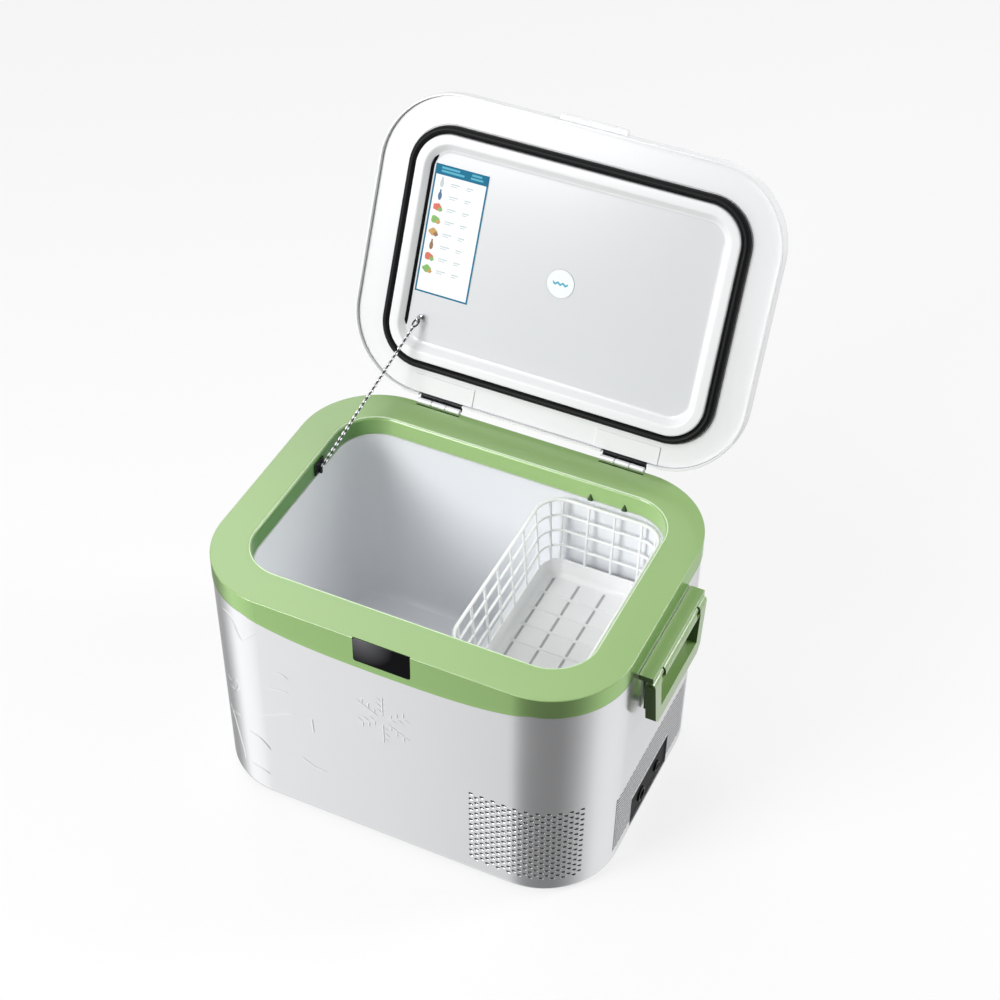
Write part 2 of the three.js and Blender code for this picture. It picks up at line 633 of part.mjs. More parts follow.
function addHinges() {
  for (const [side, x] of [['left', -HINGE_X], ['right', HINGE_X]]) {
    add(`hinge_fixed_leaf_${side}`, hingeFixedLeaf(x), paint.steel);
    add(`hinge_pin_${side}`, hingePin(x), paint.steel);
    addToLid(`hinge_lid_leaf_${side}`, hingeLidLeaf(x), paint.steel);
    addToLid(`hinge_pad_${side}`, hingePad(x), paint.white);
  }
}

// ---- sticker, round label, chain and its two fixings --------------------
const PAPER_Z = FLANGE_Z - GAP;
const foodChart = () => box(-169.5, -103.5, -90.5, 58, PAPER_Z - 0.4, PAPER_Z);
const roundLabel = () => rod('z', 15, 0.4, 0, 4.3, PAPER_Z - 0.2, 32);

const EYE = { x: -155, y: 87 };
function lidEyelet() {
  const base = rod('z', 4, 1.2, EYE.x, EYE.y, FLANGE_Z - GAP - 0.6, 16);
  const stem = rod('z', 1.4, 5, EYE.x, EYE.y, FLANGE_Z - 3.2, 10);
  const ring = new THREE.TorusGeometry(3.4, 1.1, 8, 18).rotateY(Math.PI / 2)
    .translate(EYE.x, EYE.y, FLANGE_Z - 8.6);
  return join(base, stem, ring);
}

const CHAIN_LOW = [-193.6, 50.5, TOP - 14.6];
const CHAIN_HIGH = [-157, 206.5, TOP + 85.8];
const stayChain = () => tube([CHAIN_LOW, CHAIN_HIGH], 1.6, 8, 1);

function chainClip() {
  const wall = OPENING.x0 + GAP;
  const plate = box(wall, wall + 1.5, 38, 58, TOP - 22, TOP - 6);
  const lug = box(wall + 1, wall + 5.5, 44, 47.5, TOP - 21, TOP - 13);
  return join(plate, lug);
}

// ---- put it together ----------------------------------------------------
add('outer_shell', outerShell(), paint.silver);
add('base_pan', basePan(), paint.black);
addFeet();
add('front_corner_grille', grillePatch(cornerWindow), paint.silver);
add('rear_corner_grille', grillePatch(rearWindow), paint.silver);
add('side_grille', sideGrille(), paint.silver);
add('power_panel', powerPanel(), paint.black);
add('dc_socket', dcSocket(), paint.black);
add('fuse_cap', fuseCap(), paint.black);

add('collar', collar(), paint.green);
add('display_glass', displayGlass(), paint.glass);
add('display_module', displayModule(), paint.black);
add('control_board', controlBoard(), paint.board);
add('liner', liner(), paint.white);
add('body_foam', foam(), paint.foam);
add('evaporator_plate', evaporatorPlate(), paint.aluminium);
add('basket', basket(), paint.white);

add('bulkhead', bulkhead(), paint.aluminium);
add('compressor', compressor(), paint.darkSteel);
addGrommets();
add('condenser', condenser(), paint.aluminium);
add('fan_shroud', fanShroud(), paint.black);
add('fan_rotor', fanRotor(), paint.black);
add('filter_drier', filterDrier(), paint.copper);
add('power_board', powerBoard(), paint.aluminium);
add('discharge_tube', dischargeTube(), paint.copper);
add('suction_tube', suctionTube(), paint.copper);

addHandles();
addHinges();
addToLid('lid_cover', lidCover(), paint.white);
addToLid('lid_foam', lidFoam(), paint.foam);
addToLid('lid_panel', lidPanel(), paint.white);
addToLid('lid_seal', lidSeal(), paint.rubber);
addToLid('food_chart', foodChart(), paint.paper);
addToLid('round_label', roundLabel(), paint.paper);
addToLid('lid_eyelet', lidEyelet(), paint.steel);
add('chain_clip', chainClip(), paint.black);
add('stay_chain', stayChain(), paint.steel);

export default fridge;
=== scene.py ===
import json
import math

import bmesh
import bpy
from mathutils import Matrix, Vector


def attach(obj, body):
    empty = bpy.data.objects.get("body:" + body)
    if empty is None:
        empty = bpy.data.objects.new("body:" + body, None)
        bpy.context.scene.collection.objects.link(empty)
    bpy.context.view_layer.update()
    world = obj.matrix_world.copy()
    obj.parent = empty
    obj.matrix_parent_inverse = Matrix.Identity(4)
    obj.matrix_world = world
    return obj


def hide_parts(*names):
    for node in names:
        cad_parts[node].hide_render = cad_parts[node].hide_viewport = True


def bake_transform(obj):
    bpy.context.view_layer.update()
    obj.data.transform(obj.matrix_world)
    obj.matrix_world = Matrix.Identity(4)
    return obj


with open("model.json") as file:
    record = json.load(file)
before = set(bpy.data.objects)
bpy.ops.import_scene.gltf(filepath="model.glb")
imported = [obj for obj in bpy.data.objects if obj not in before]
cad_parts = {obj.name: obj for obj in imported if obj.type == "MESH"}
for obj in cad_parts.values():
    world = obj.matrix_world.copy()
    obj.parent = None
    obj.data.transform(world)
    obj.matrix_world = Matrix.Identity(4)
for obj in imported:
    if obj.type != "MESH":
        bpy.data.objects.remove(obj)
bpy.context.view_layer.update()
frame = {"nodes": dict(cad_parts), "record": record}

MM = 0.001

# ---- the CAD's driving sizes, in millimetres --------------------------------
TOP = 309.0
PLAN = (-240, 240, -182, 182, 93)
OPENING = (-197.5, 197.5, -134.5, 139, 48.5)
BAND, APRON, APRON_HALF = 26, 43, 165
THROAT = 23.7
LINER_TOP = TOP - THROAT - 0.3
WELL_FLOOR, WELL_DRAFT, STEP_X, STEP_TOP = 41, 12, 36, 174
HINGE_Y, HINGE_Z, HINGE_X, OPEN_DEG = 180.5, TOP + 3.6, 113, 113.5
FLANGE = TOP + 8.5
LID = (-237, 237, -171.4, 175.4, 90)
SEAL = (-191.6, 191.6, -126.6, 135.2, 41.7)
BASKET = (44, 190, -128, 131, 30)
BASKET_TOP, BASKET_BASE, BASKET_DRAFT = LINER_TOP - 0.3, STEP_TOP + 0.3, 8
GLASS = (-31.5, 34.5, TOP - 33, TOP - 0.5)
SHELL_WALL = 3
INSET_TOP, INSET_BASE = 0.6, 5.3
SHELL_TOP = TOP - BAND - 0.3
CHAIN_LOW = (-193.6, 50.5, TOP - 14.6)
CHAIN_TOP = (-157.2, 205.4, TOP + 85)
EYE_RING = (-155, 214.4, TOP + 90.8)


# ---- materials ---------------------------------------------------------------
def linear(r, g, b):
    return tuple(((c / 255 + 0.055) / 1.055) ** 2.4 if c > 10 else c / 3294 for c in (r, g, b)) + (1,)


def material(name, colour, rough, metal=0.0, drift=0.04, scale=9.0, grain=900.0, bump=0.02,
             spec=0.5, coat=0.0, coat_rough=0.05, rough_drift=0.05):
    """A procedural finish: slow colour drift, uneven gloss and a fine moulded grain."""
    mat = bpy.data.materials.new(name)
    mat.use_nodes = True
    nodes, links = mat.node_tree.nodes, mat.node_tree.links
    shader = nodes["Principled BSDF"]
    shader.inputs["Metallic"].default_value = metal
    shader.inputs["Specular IOR Level"].default_value = spec
    shader.inputs["Coat Weight"].default_value = coat
    shader.inputs["Coat Roughness"].default_value = coat_rough
    where = nodes.new("ShaderNodeTexCoord")
    slow = nodes.new("ShaderNodeTexNoise")
    slow.inputs["Scale"].default_value = scale
    slow.inputs["Detail"].default_value = 3
    links.new(where.outputs["Object"], slow.inputs["Vector"])
    ramp = nodes.new("ShaderNodeValToRGB")
    dark = tuple(c * (1 - drift) for c in colour[:3]) + (1,)
    light = tuple(min(c * (1 + drift), 1) for c in colour[:3]) + (1,)
    ramp.color_ramp.elements[0].position, ramp.color_ramp.elements[1].position = 0.35, 0.65
    ramp.color_ramp.elements[0].color, ramp.color_ramp.elements[1].color = dark, light
    links.new(slow.outputs["Fac"], ramp.inputs["Fac"])
    links.new(ramp.outputs["Color"], shader.inputs["Base Color"])
    gloss = nodes.new("ShaderNodeMapRange")
    gloss.inputs["To Min"].default_value = max(rough - rough_drift, 0.02)
    gloss.inputs["To Max"].default_value = rough + rough_drift
    links.new(slow.outputs["Fac"], gloss.inputs["Value"])
    links.new(gloss.outputs["Result"], shader.inputs["Roughness"])
    fine = nodes.new("ShaderNodeTexNoise")
    fine.inputs["Scale"].default_value = grain
    fine.inputs["Detail"].default_value = 2
    links.new(where.outputs["Object"], fine.inputs["Vector"])
    relief = nodes.new("ShaderNodeBump")
    relief.inputs["Strength"].default_value = bump
    relief.inputs["Distance"].default_value = 0.0004
    links.new(fine.outputs["Fac"], relief.inputs["Height"])
    links.new(relief.outputs["Normal"], shader.inputs["Normal"])
    return mat


SILVER = material("silver", (0.86, 0.865, 0.88, 1), 0.24, metal=0.88, drift=0.012, bump=0.006)
SILVER_DIM = material("silver_dim", (0.66, 0.665, 0.68, 1), 0.3, metal=0.88, drift=0.012, bump=0.006)
GREEN = material("green", (0.285, 0.462, 0.16, 1), 0.34, drift=0.012, bump=0.02, spec=0.3, coat=0.9, coat_rough=0.24,
                 rough_drift=0.02)
GREEN.node_tree.nodes["Principled BSDF"].inputs["Coat IOR"].default_value = 1.75
GREEN_BAND = material("green_band", (0.365, 0.585, 0.225, 1), 0.27, metal=0.85, drift=0.012, bump=0.01,
                      rough_drift=0.02)
# The throat's green is lighter than the collar's: painted bounce light from the white liner.
GREEN_THROAT_PAINTED_LIGHT_AND_SHADE = material("green_throat_painted_light_and_shade", (0.375, 0.58, 0.225, 1), 0.34, drift=0.012, bump=0.02, spec=0.3, coat=0.5,
                        coat_rough=0.24, rough_drift=0.02)


def paint_shade_along_x(mat, colour, low, high):
    """Blend a finish to a painted shade colour between two places along X."""
    tree = mat.node_tree
    coords = next(n for n in tree.nodes if n.type == "TEX_COORD")
    ramp = next(n for n in tree.nodes if n.type == "VALTORGB")
    axis, reach, blend = (tree.nodes.new(k) for k in
                          ("ShaderNodeSeparateXYZ", "ShaderNodeMapRange", "ShaderNodeMix"))
    blend.data_type = "RGBA"
    reach.inputs["From Min"].default_value, reach.inputs["From Max"].default_value = low * MM, high * MM
    tree.links.new(coords.outputs["Object"], axis.inputs[0])
    tree.links.new(axis.outputs["X"], reach.inputs["Value"])
    tree.links.new(reach.outputs["Result"], blend.inputs["Factor"])
    blend.inputs[6].default_value = colour
    tree.links.new(ramp.outputs["Color"], blend.inputs[7])
    tree.links.new(blend.outputs[2], tree.nodes["Principled BSDF"].inputs["Base Color"])


# Painted shade: the throat darkens towards its left wall.
paint_shade_along_x(GREEN_THROAT_PAINTED_LIGHT_AND_SHADE, (0.10, 0.27, 0.05, 1), -194, -152)
# Pale green for the painted highlight along the opening's edge.
GREEN_PAINTED_HIGHLIGHT = material("green_painted_highlight", (0.68, 0.84, 0.58, 1), 0.3, drift=0.02, bump=0.02)
# Darker green for painted shade on the handle's end faces.
GREEN_END_PAINTED_SHADE = material("green_end_painted_shade", (0.10, 0.17, 0.06, 1), 0.5, drift=0.02, bump=0.02, spec=0.12)
LID_WHITE = material("lid_white", (0.865, 0.87, 0.88, 1), 0.25, drift=0.006, bump=0.008, rough_drift=0.01, spec=0.35)
PANEL_WHITE = material("panel_white", (0.715, 0.725, 0.745, 1), 0.2, drift=0.006, bump=0.008, rough_drift=0.01)
LINER_WHITE = material("liner_white", (0.865, 0.88, 0.91, 1), 0.3, drift=0.005, bump=0.006, rough_drift=0.008)
BASKET_WHITE = material("basket_white", (0.95, 0.952, 0.958, 1), 0.38, drift=0.012, bump=0.03)
# Grey for painted shade on the basket's slot floors.
SLOT_PAINTED_SHADE = material("slot_painted_shade", (0.54, 0.55, 0.56, 1), 0.6, drift=0.03, bump=0.02, spec=0.2)
# Greyer white for painted shade on the lid cover's top faces.
COVER_TOP_PAINTED_SHADE = material("cover_top_painted_shade", (0.74, 0.745, 0.755, 1), 0.25, drift=0.006, bump=0.008, rough_drift=0.01, spec=0.35)
SEAL_RUBBER = material("seal_rubber", (0.006, 0.006, 0.007, 1), 0.48, drift=0.25, bump=0.12, spec=0.17)
FOOT_RUBBER = material("foot_rubber", (0.02, 0.02, 0.021, 1), 0.75, drift=0.2, bump=0.3)
SOCKET_BLACK = material("socket_black", (0.004, 0.004, 0.005, 1), 0.55, drift=0.15, bump=0.1, spec=0.12)
# Pale satin on the turned hinge barrels: a painted highlight standing in for the steel's bright line.
BARREL_PAINTED_HIGHLIGHT = material("hinge_barrel_painted_highlight", (0.80, 0.81, 0.83, 1), 0.3, metal=0.2, drift=0.03, bump=0.01)
# Near-black steel on the lid's hinge leaf and middle knuckle: painted shade on the hinge steel.
KNUCKLE_PAINTED_SHADE = material("knuckle", (0.07, 0.07, 0.075, 1), 0.14, metal=1, drift=0.06, bump=0.01)
CHROME = material("chrome", (0.52, 0.53, 0.56, 1), 0.1, metal=1, drift=0.03, bump=0.01)
STEEL = material("steel", (0.55, 0.56, 0.58, 1), 0.2, metal=1, drift=0.12, scale=60, bump=0.05)
# Lit and shaded copies of the chain steel: pale links carry painted highlight, dark links painted shade.
LINK_PAINTED_HIGHLIGHT = material("link_painted_highlight", (0.86, 0.87, 0.88, 1), 0.3, metal=0.9, drift=0.05, scale=60, bump=0.03)
DARK_STEEL_AND_PAINTED_SHADE = material("dark_steel_and_painted_shade", (0.09, 0.09, 0.095, 1), 0.3, metal=1, drift=0.2, scale=60, bump=0.05)
BLACK = material("black_plastic", (0.008, 0.008, 0.009, 1), 0.42, drift=0.15, bump=0.15, spec=0.25)
GLASS_BLACK = material("display_glass", (0.004, 0.004, 0.005, 1), 0.05, drift=0.1, bump=0.0, rough_drift=0.01,
                       spec=0.035)
PAPER = material("paper", (0.90, 0.93, 0.93, 1), 0.5, drift=0.015, grain=2500, bump=0.05)
COPPER = material("copper", (0.62, 0.30, 0.14, 1), 0.28, metal=1, drift=0.15, scale=40)
ALUMINIUM = material("aluminium", (0.68, 0.69, 0.70, 1), 0.38, metal=1, drift=0.06, scale=30, bump=0.1)
ENAMEL = material("enamel", (0.02, 0.02, 0.021, 1), 0.3, drift=0.2, bump=0.08)
FOAM = material("foam", (0.78, 0.70, 0.46, 1), 0.9, drift=0.1, scale=60, grain=300, bump=0.6)
BOARD = material("board", (0.02, 0.13, 0.06, 1), 0.45, drift=0.25, scale=160, bump=0.1)
TEAL = material("teal", linear(14, 112, 146), 0.6, drift=0.04, spec=0.2)
PALE_BLUE = material("pale_blue", linear(96, 182, 206), 0.6, drift=0.04, spec=0.2)
PALE_GREY = material("pale_grey", linear(196, 204, 208), 0.5, drift=0.04)
NAVY = material("navy", linear(52, 96, 140), 0.45, drift=0.08)
RED = material("red", linear(214, 96, 70), 0.45, drift=0.12)
LEAF = material("leaf", linear(120, 176, 84), 0.45, drift=0.12)
OCHRE = material("ochre", linear(196, 150, 70), 0.45, drift=0.12)
BROWN = material("brown", linear(140, 98, 66), 0.45, drift=0.12)
SHADOW_GREEN = material("green_shade", (0.05, 0.10, 0.03, 1), 0.5, drift=0.1)

SLOT_MATERIAL = {
    "shell_silver": SILVER, "collar_green": GREEN, "lid_white": LID_WHITE,
    "liner_white": LINER_WHITE, "basket_white": BASKET_WHITE, "seal_rubber": SEAL_RUBBER,
    "foot_rubber": FOOT_RUBBER, "hinge_steel": CHROME, "stay_steel": STEEL,
    "black_plastic": BLACK, "display_glass": GLASS_BLACK, "label_paper": PAPER,
    "copper_tube": COPPER, "aluminium": ALUMINIUM, "compressor_black": ENAMEL,
    "foam": FOAM, "circuit_board": BOARD,
}
for part in frame["record"]["subparts"]:
    node = frame["nodes"][part["node"]]
    node.data.materials.clear()
    node.data.materials.append(SLOT_MATERIAL[part["material_slot"]])


# ---- mesh helpers ------------------------------------------------------------
def outline(box, inset=0.0, arc=16, run=1, radii=None):
    """A rounded rectangle as plan points, anticlockwise from its front right corner."""
    x0, x1, y0, y1, r0 = box
    corner_radii = [max(r - inset, 0.3) for r in (radii or (r0, r0, r0, r0))]
    ends = ((x1, y0, -90, -1, 1), (x1, y1, 0, -1, -1), (x0, y1, 90, 1, -1), (x0, y0, 180, 1, 1))
    corners = []
    for (x, y, start, sx, sy), r in zip(ends, corner_radii):
        cx, cy = x + sx * (inset + r), y + sy * (inset + r)
        corners.append([(cx + r * math.cos(math.radians(start + 90 * i / arc)),
                         cy + r * math.sin(math.radians(start + 90 * i / arc))) for i in range(arc + 1)])
    points = []
    for k, corner in enumerate(corners):
        points += corner
        a, b = corner[-1], corners[(k + 1) % 4][0]
        points += [(a[0] + (b[0] - a[0]) * i / run, a[1] + (b[1] - a[1]) * i / run) for i in range(1, run)]
    return points


def ring(box, inset, z, arc=16, run=1, radii=None):
    return [(x, y, z) for x, y in outline(box, inset, arc, run, radii)]


def stitch(rings, wrap=False, cap_first=False, cap_last=False):
    """Faces between rings of the same length; wrap closes the last ring onto the first."""
    n, count = len(rings[0]), len(rings)
    verts = [p for one in rings for p in one]
    faces = []
    for k in range(count if wrap else count - 1):
        a, b = k * n, ((k + 1) % count) * n
        faces += [(a + i, a + (i + 1) % n, b + (i + 1) % n, b + i) for i in range(n)]
    if cap_first:
        faces.append(tuple(range(n - 1, -1, -1)))
    if cap_last:
        faces.append(tuple(range((count - 1) * n, count * n)))
    return verts, faces


def merged(*shapes):
    verts, faces = [], []
    for v, f in shapes:
        base = len(verts)
        verts += v
        faces += [tuple(i + base for i in face) for face in f]
    return verts, faces


def tidy_normals(mesh, smooth):
    bm = bmesh.new()
    bm.from_mesh(mesh)
    bmesh.ops.remove_doubles(bm, verts=bm.verts, dist=1e-6)
    bmesh.ops.recalc_face_normals(bm, faces=bm.faces)
    bm.to_mesh(mesh)
    bm.free()
    mesh.polygons.foreach_set("use_smooth", [True] * len(mesh.polygons))
    mesh.set_sharp_from_angle(angle=math.radians(smooth))


def raw(name, shape, material_, smooth=32, place=None):
    mesh = bpy.data.meshes.new(name)
    mesh.from_pydata([Vector(v) * MM for v in shape[0]], [], shape[1])
    if place:
        mesh.transform(place)
    obj = bpy.data.objects.new(name, mesh)
    bpy.context.scene.collection.objects.link(obj)
    mesh.materials.append(material_)
    tidy_normals(mesh, smooth)
    return obj


def bake(obj, smooth=32):
    """Applies obj's modifiers to its mesh."""
    bpy.context.view_layer.update()
    graph = bpy.context.evaluated_depsgraph_get()
    mesh = bpy.data.meshes.new_from_object(obj.evaluated_get(graph))
    obj.modifiers.clear()
    old, obj.data = obj.data, mesh
    bpy.data.meshes.remove(old)
    mesh.name = obj.name
    tidy_normals(mesh, smooth)
    return obj


def bevelled(obj, width, segments=3, angle=30, smooth=32):
    mod = obj.modifiers.new("edge", "BEVEL")
    mod.width, mod.segments = width * MM, segments
    mod.limit_method, mod.angle_limit = "ANGLE", math.radians(angle)
    return bake(obj, smooth)


def carve(obj, *shapes, smooth=32):
    """Cuts the given shapes out of obj."""
    cutter = raw("cutter", merged(*shapes), obj.data.materials[0])
    mod = obj.modifiers.new("cut", "BOOLEAN")
    mod.object, mod.operation, mod.solver = cutter, "DIFFERENCE", "EXACT"
    bake(obj, smooth)
    old = cutter.data
    bpy.data.objects.remove(cutter)
    bpy.data.meshes.remove(old)
    return obj


def finish(obj, body, slot, *nodes):
    even = obj.modifiers.new("even_shading", "WEIGHTED_NORMAL")
    even.keep_sharp = True
    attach(obj, body)
    if nodes:
        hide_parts(*nodes)
    return obj


def box_shape(x0, x1, y0, y1, z0, z1):
    v = [(x, y, z) for z in (z0, z1) for x, y in ((x0, y0), (x1, y0), (x1, y1), (x0, y1))]
    return v, [(3, 2, 1, 0), (4, 5, 6, 7), (0, 1, 5, 4), (1, 2, 6, 5), (2, 3, 7, 6), (3, 0, 4, 7)]


def prism(points, axis, low, high):
    """A flat outline given thickness along one axis."""
    def at(p, w):
        return {"x": (w, p[0], p[1]), "y": (p[0], w, p[1]), "z": (p[0], p[1], w)}[axis]
    return stitch([[at(p, low) for p in points], [at(p, high) for p in points]],
                  cap_first=True, cap_last=True)


def turned(profile, axis, centre, sides=40):
    """A turned piece: profile is (radius, distance along the axis), closed at both ends."""
    rings = []
    for r, h in profile:
        loop = []
        for i in range(sides):
            a = 2 * math.pi * i / sides
            u, v = r * math.cos(a), r * math.sin(a)
            p = {"x": (h, u, v), "y": (v, h, u), "z": (u, v, h)}[axis]
            loop.append(tuple(c + q for c, q in zip(centre, p)))
        rings.append(loop)
    return stitch(rings, cap_first=True, cap_last=True)


def tube(path, radius, sides=8, closed=False, squash=1.0):
    """A round bar through points; squash flattens it across its second direction."""
    pts = [Vector(p) for p in path]
    n = len(pts)
    rings, side = [], None
    for i, p in enumerate(pts):
        a = pts[(i - 1) % n] if closed or i else p
        b = pts[(i + 1) % n] if closed or i < n - 1 else p
        along = (b - a).normalized()
        if side is None:
            side = along.orthogonal().normalized()
        side = (side - along * side.dot(along)).normalized()
        other = along.cross(side)
        rings.append([tuple(p + side * radius * math.cos(t) + other * radius * squash * math.sin(t))
                      for t in (2 * math.pi * k / sides for k in range(sides))])
    return stitch(rings, wrap=closed, cap_first=not closed, cap_last=not closed)


def from_node(name, width, segments=3, smooth=32, place_material=None):
    """A copy of a CAD node with its flat faces joined up and its edges rounded."""
    node = frame["nodes"][name]
    mesh = node.data.copy()
    obj = bpy.data.objects.new(name + "_finished", mesh)
    bpy.context.scene.collection.objects.link(obj)
    bm = bmesh.new()
    bm.from_mesh(mesh)
    bmesh.ops.remove_doubles(bm, verts=bm.verts, dist=1e-6)
    bmesh.ops.dissolve_limit(bm, angle_limit=math.radians(1), verts=bm.verts, edges=bm.edges)
    bm.to_mesh(mesh)
    bm.free()
    if place_material:
        mesh.materials.clear()
        mesh.materials.append(place_material)
    return bevelled(obj, width, segments, smooth=smooth) if width else obj


# ---- the outer shell: moulded wall with its vents ----------------------------
def shell_inset(z):
    return INSET_BASE + (INSET_TOP - INSET_BASE) * (z / SHELL_TOP)


def apron_low(x):
    """Lower edge of the collar at x on the front, in Z."""
    x = abs(x)
    if x >= APRON_HALF:
        return TOP - BAND
    low, high = 0.0, 1.0
    for _ in range(30):
        t = (low + high) / 2
        at = APRON_HALF * (1 - t) ** 3 + 360 * t * (1 - t) ** 2 + 210 * t * t * (1 - t)
        low, high = (t, high) if at > x else (low, t)
    return (TOP - BAND) * (1 - t) ** 3 + 3 * (TOP - APRON + 2) * t * (1 - t) ** 2 \
        + 3 * (TOP - APRON) * t * t * (1 - t) + (TOP - APRON) * t ** 3


HALF_X, HALF_Y, ARC_LENGTH = 147.0, 89.0, 93 * math.pi / 2
SIDE_START = HALF_X + ARC_LENGTH
BACK_START = SIDE_START + 2 * HALF_Y + ARC_LENGTH


def column(s):
    """Where the wall stands at distance s round the body from the middle of the front:
    an anchor in plan and the way out of the wall."""
    sign = 1 if s >= 0 else -1
    s = abs(s)
    if s <= HALF_X:
        anchor, normal = (s, -HALF_Y), (0, -1)
    elif s <= SIDE_START:
        a = (s - HALF_X) / 93
        anchor, normal = (HALF_X, -HALF_Y), (math.sin(a), -math.cos(a))
    elif s <= SIDE_START + 2 * HALF_Y:
        anchor, normal = (HALF_X, -HALF_Y + s - SIDE_START), (1, 0)
    elif s <= BACK_START:
        a = (s - SIDE_START - 2 * HALF_Y) / 93
        anchor, normal = (HALF_X, HALF_Y), (math.cos(a), math.sin(a))
    else:
        anchor, normal = (HALF_X - (s - BACK_START), HALF_Y), (0, 1)
    return (sign * anchor[0], anchor[1]), (sign * normal[0], normal[1])


def wall(s, z, depth=0.0, extra=0.0):
    """A point on the shell's outer face, `depth` inside it."""
    (ax, ay), (nx, ny) = column(s)
    reach = 93 - shell_inset(z) - depth - extra
    return (ax + nx * reach, ay + ny * reach, z)


VENT_S0, VENT_PITCH, VENT_COLUMNS = 98.1, 6.35, 21
LEVEL0, LEVEL_STEP, LEVELS = 17.45, 2.175, 54
FINE, FINE_HALF = 4.4, 23
SIDE_MIDDLE = SIDE_START + HALF_Y


def spread(a, b, step):
    n = max(1, round(abs(b - a) / step))
    return [a + (b - a) * i / n for i in range(n)]


def shell_columns():
    """Distances round the body at which the wall has a column of points."""
    vent_end = VENT_S0 + VENT_PITCH * VENT_COLUMNS
    fine_start = SIDE_MIDDLE - FINE * FINE_HALF
    fine_end = SIDE_MIDDLE + FINE * FINE_HALF
    rear_start = 2 * SIDE_MIDDLE - vent_end
    rear_end = 2 * SIDE_MIDDLE - VENT_S0
    back_middle = BACK_START + HALF_X
    right = spread(0, VENT_S0, 12)
    right += [VENT_S0 + VENT_PITCH * i for i in range(VENT_COLUMNS)]
    right += spread(vent_end, fine_start, 5)
    right += [fine_start + FINE * i for i in range(2 * FINE_HALF)]
    right += spread(fine_end, rear_start, 5)
    right += [rear_start + VENT_PITCH * i for i in range(VENT_COLUMNS)]
    right += spread(rear_end, back_middle, 12) + [back_middle]
    left = spread(0, HALF_X, 12)[1:] + spread(HALF_X, SIDE_START, 5)
    left += spread(SIDE_START, SIDE_START + 2 * HALF_Y, 20)
    left += spread(SIDE_START + 2 * HALF_Y, BACK_START, 5) + spread(BACK_START, back_middle, 20)
    return right + [-s for s in reversed(left)]


def oval(cs, cz, a, b, n=12, power=2.6):
    pts = []
    for i in range(n):
        t = 2 * math.pi * (i + 0.5) / n
        c, q = math.cos(t), math.sin(t)
        pts.append((cs + a * math.copysign(abs(c) ** (2 / power), c),
                    cz + b * math.copysign(abs(q) ** (2 / power), q)))
    return pts


def annulus(outer, inner, centre):
    """Triangles between two loops given as (index, angle), both anticlockwise."""
    outer = sorted((math.atan2(p[1] - centre[1], p[0] - centre[0]), i) for i, p in outer)
    inner = sorted((math.atan2(p[1] - centre[1], p[0] - centre[0]), i) for i, p in inner)
    a, b, faces = 0, 0, []
    turn = 2 * math.pi
    while a < len(outer) or b < len(inner):
        oa = outer[a % len(outer)]
        ib = inner[b % len(inner)]
        next_o = outer[(a + 1) % len(outer)][0] + (turn if a + 1 >= len(outer) else 0)
        next_i = inner[(b + 1) % len(inner)][0] + (turn if b + 1 >= len(inner) else 0)
        if b >= len(inner) or (a < len(outer) and next_o <= next_i):
            faces.append((oa[1], outer[(a + 1) % len(outer)][1], ib[1]))
            a += 1
        else:
            faces.append((oa[1], inner[(b + 1) % len(inner)][1], ib[1]))
            b += 1
    return faces


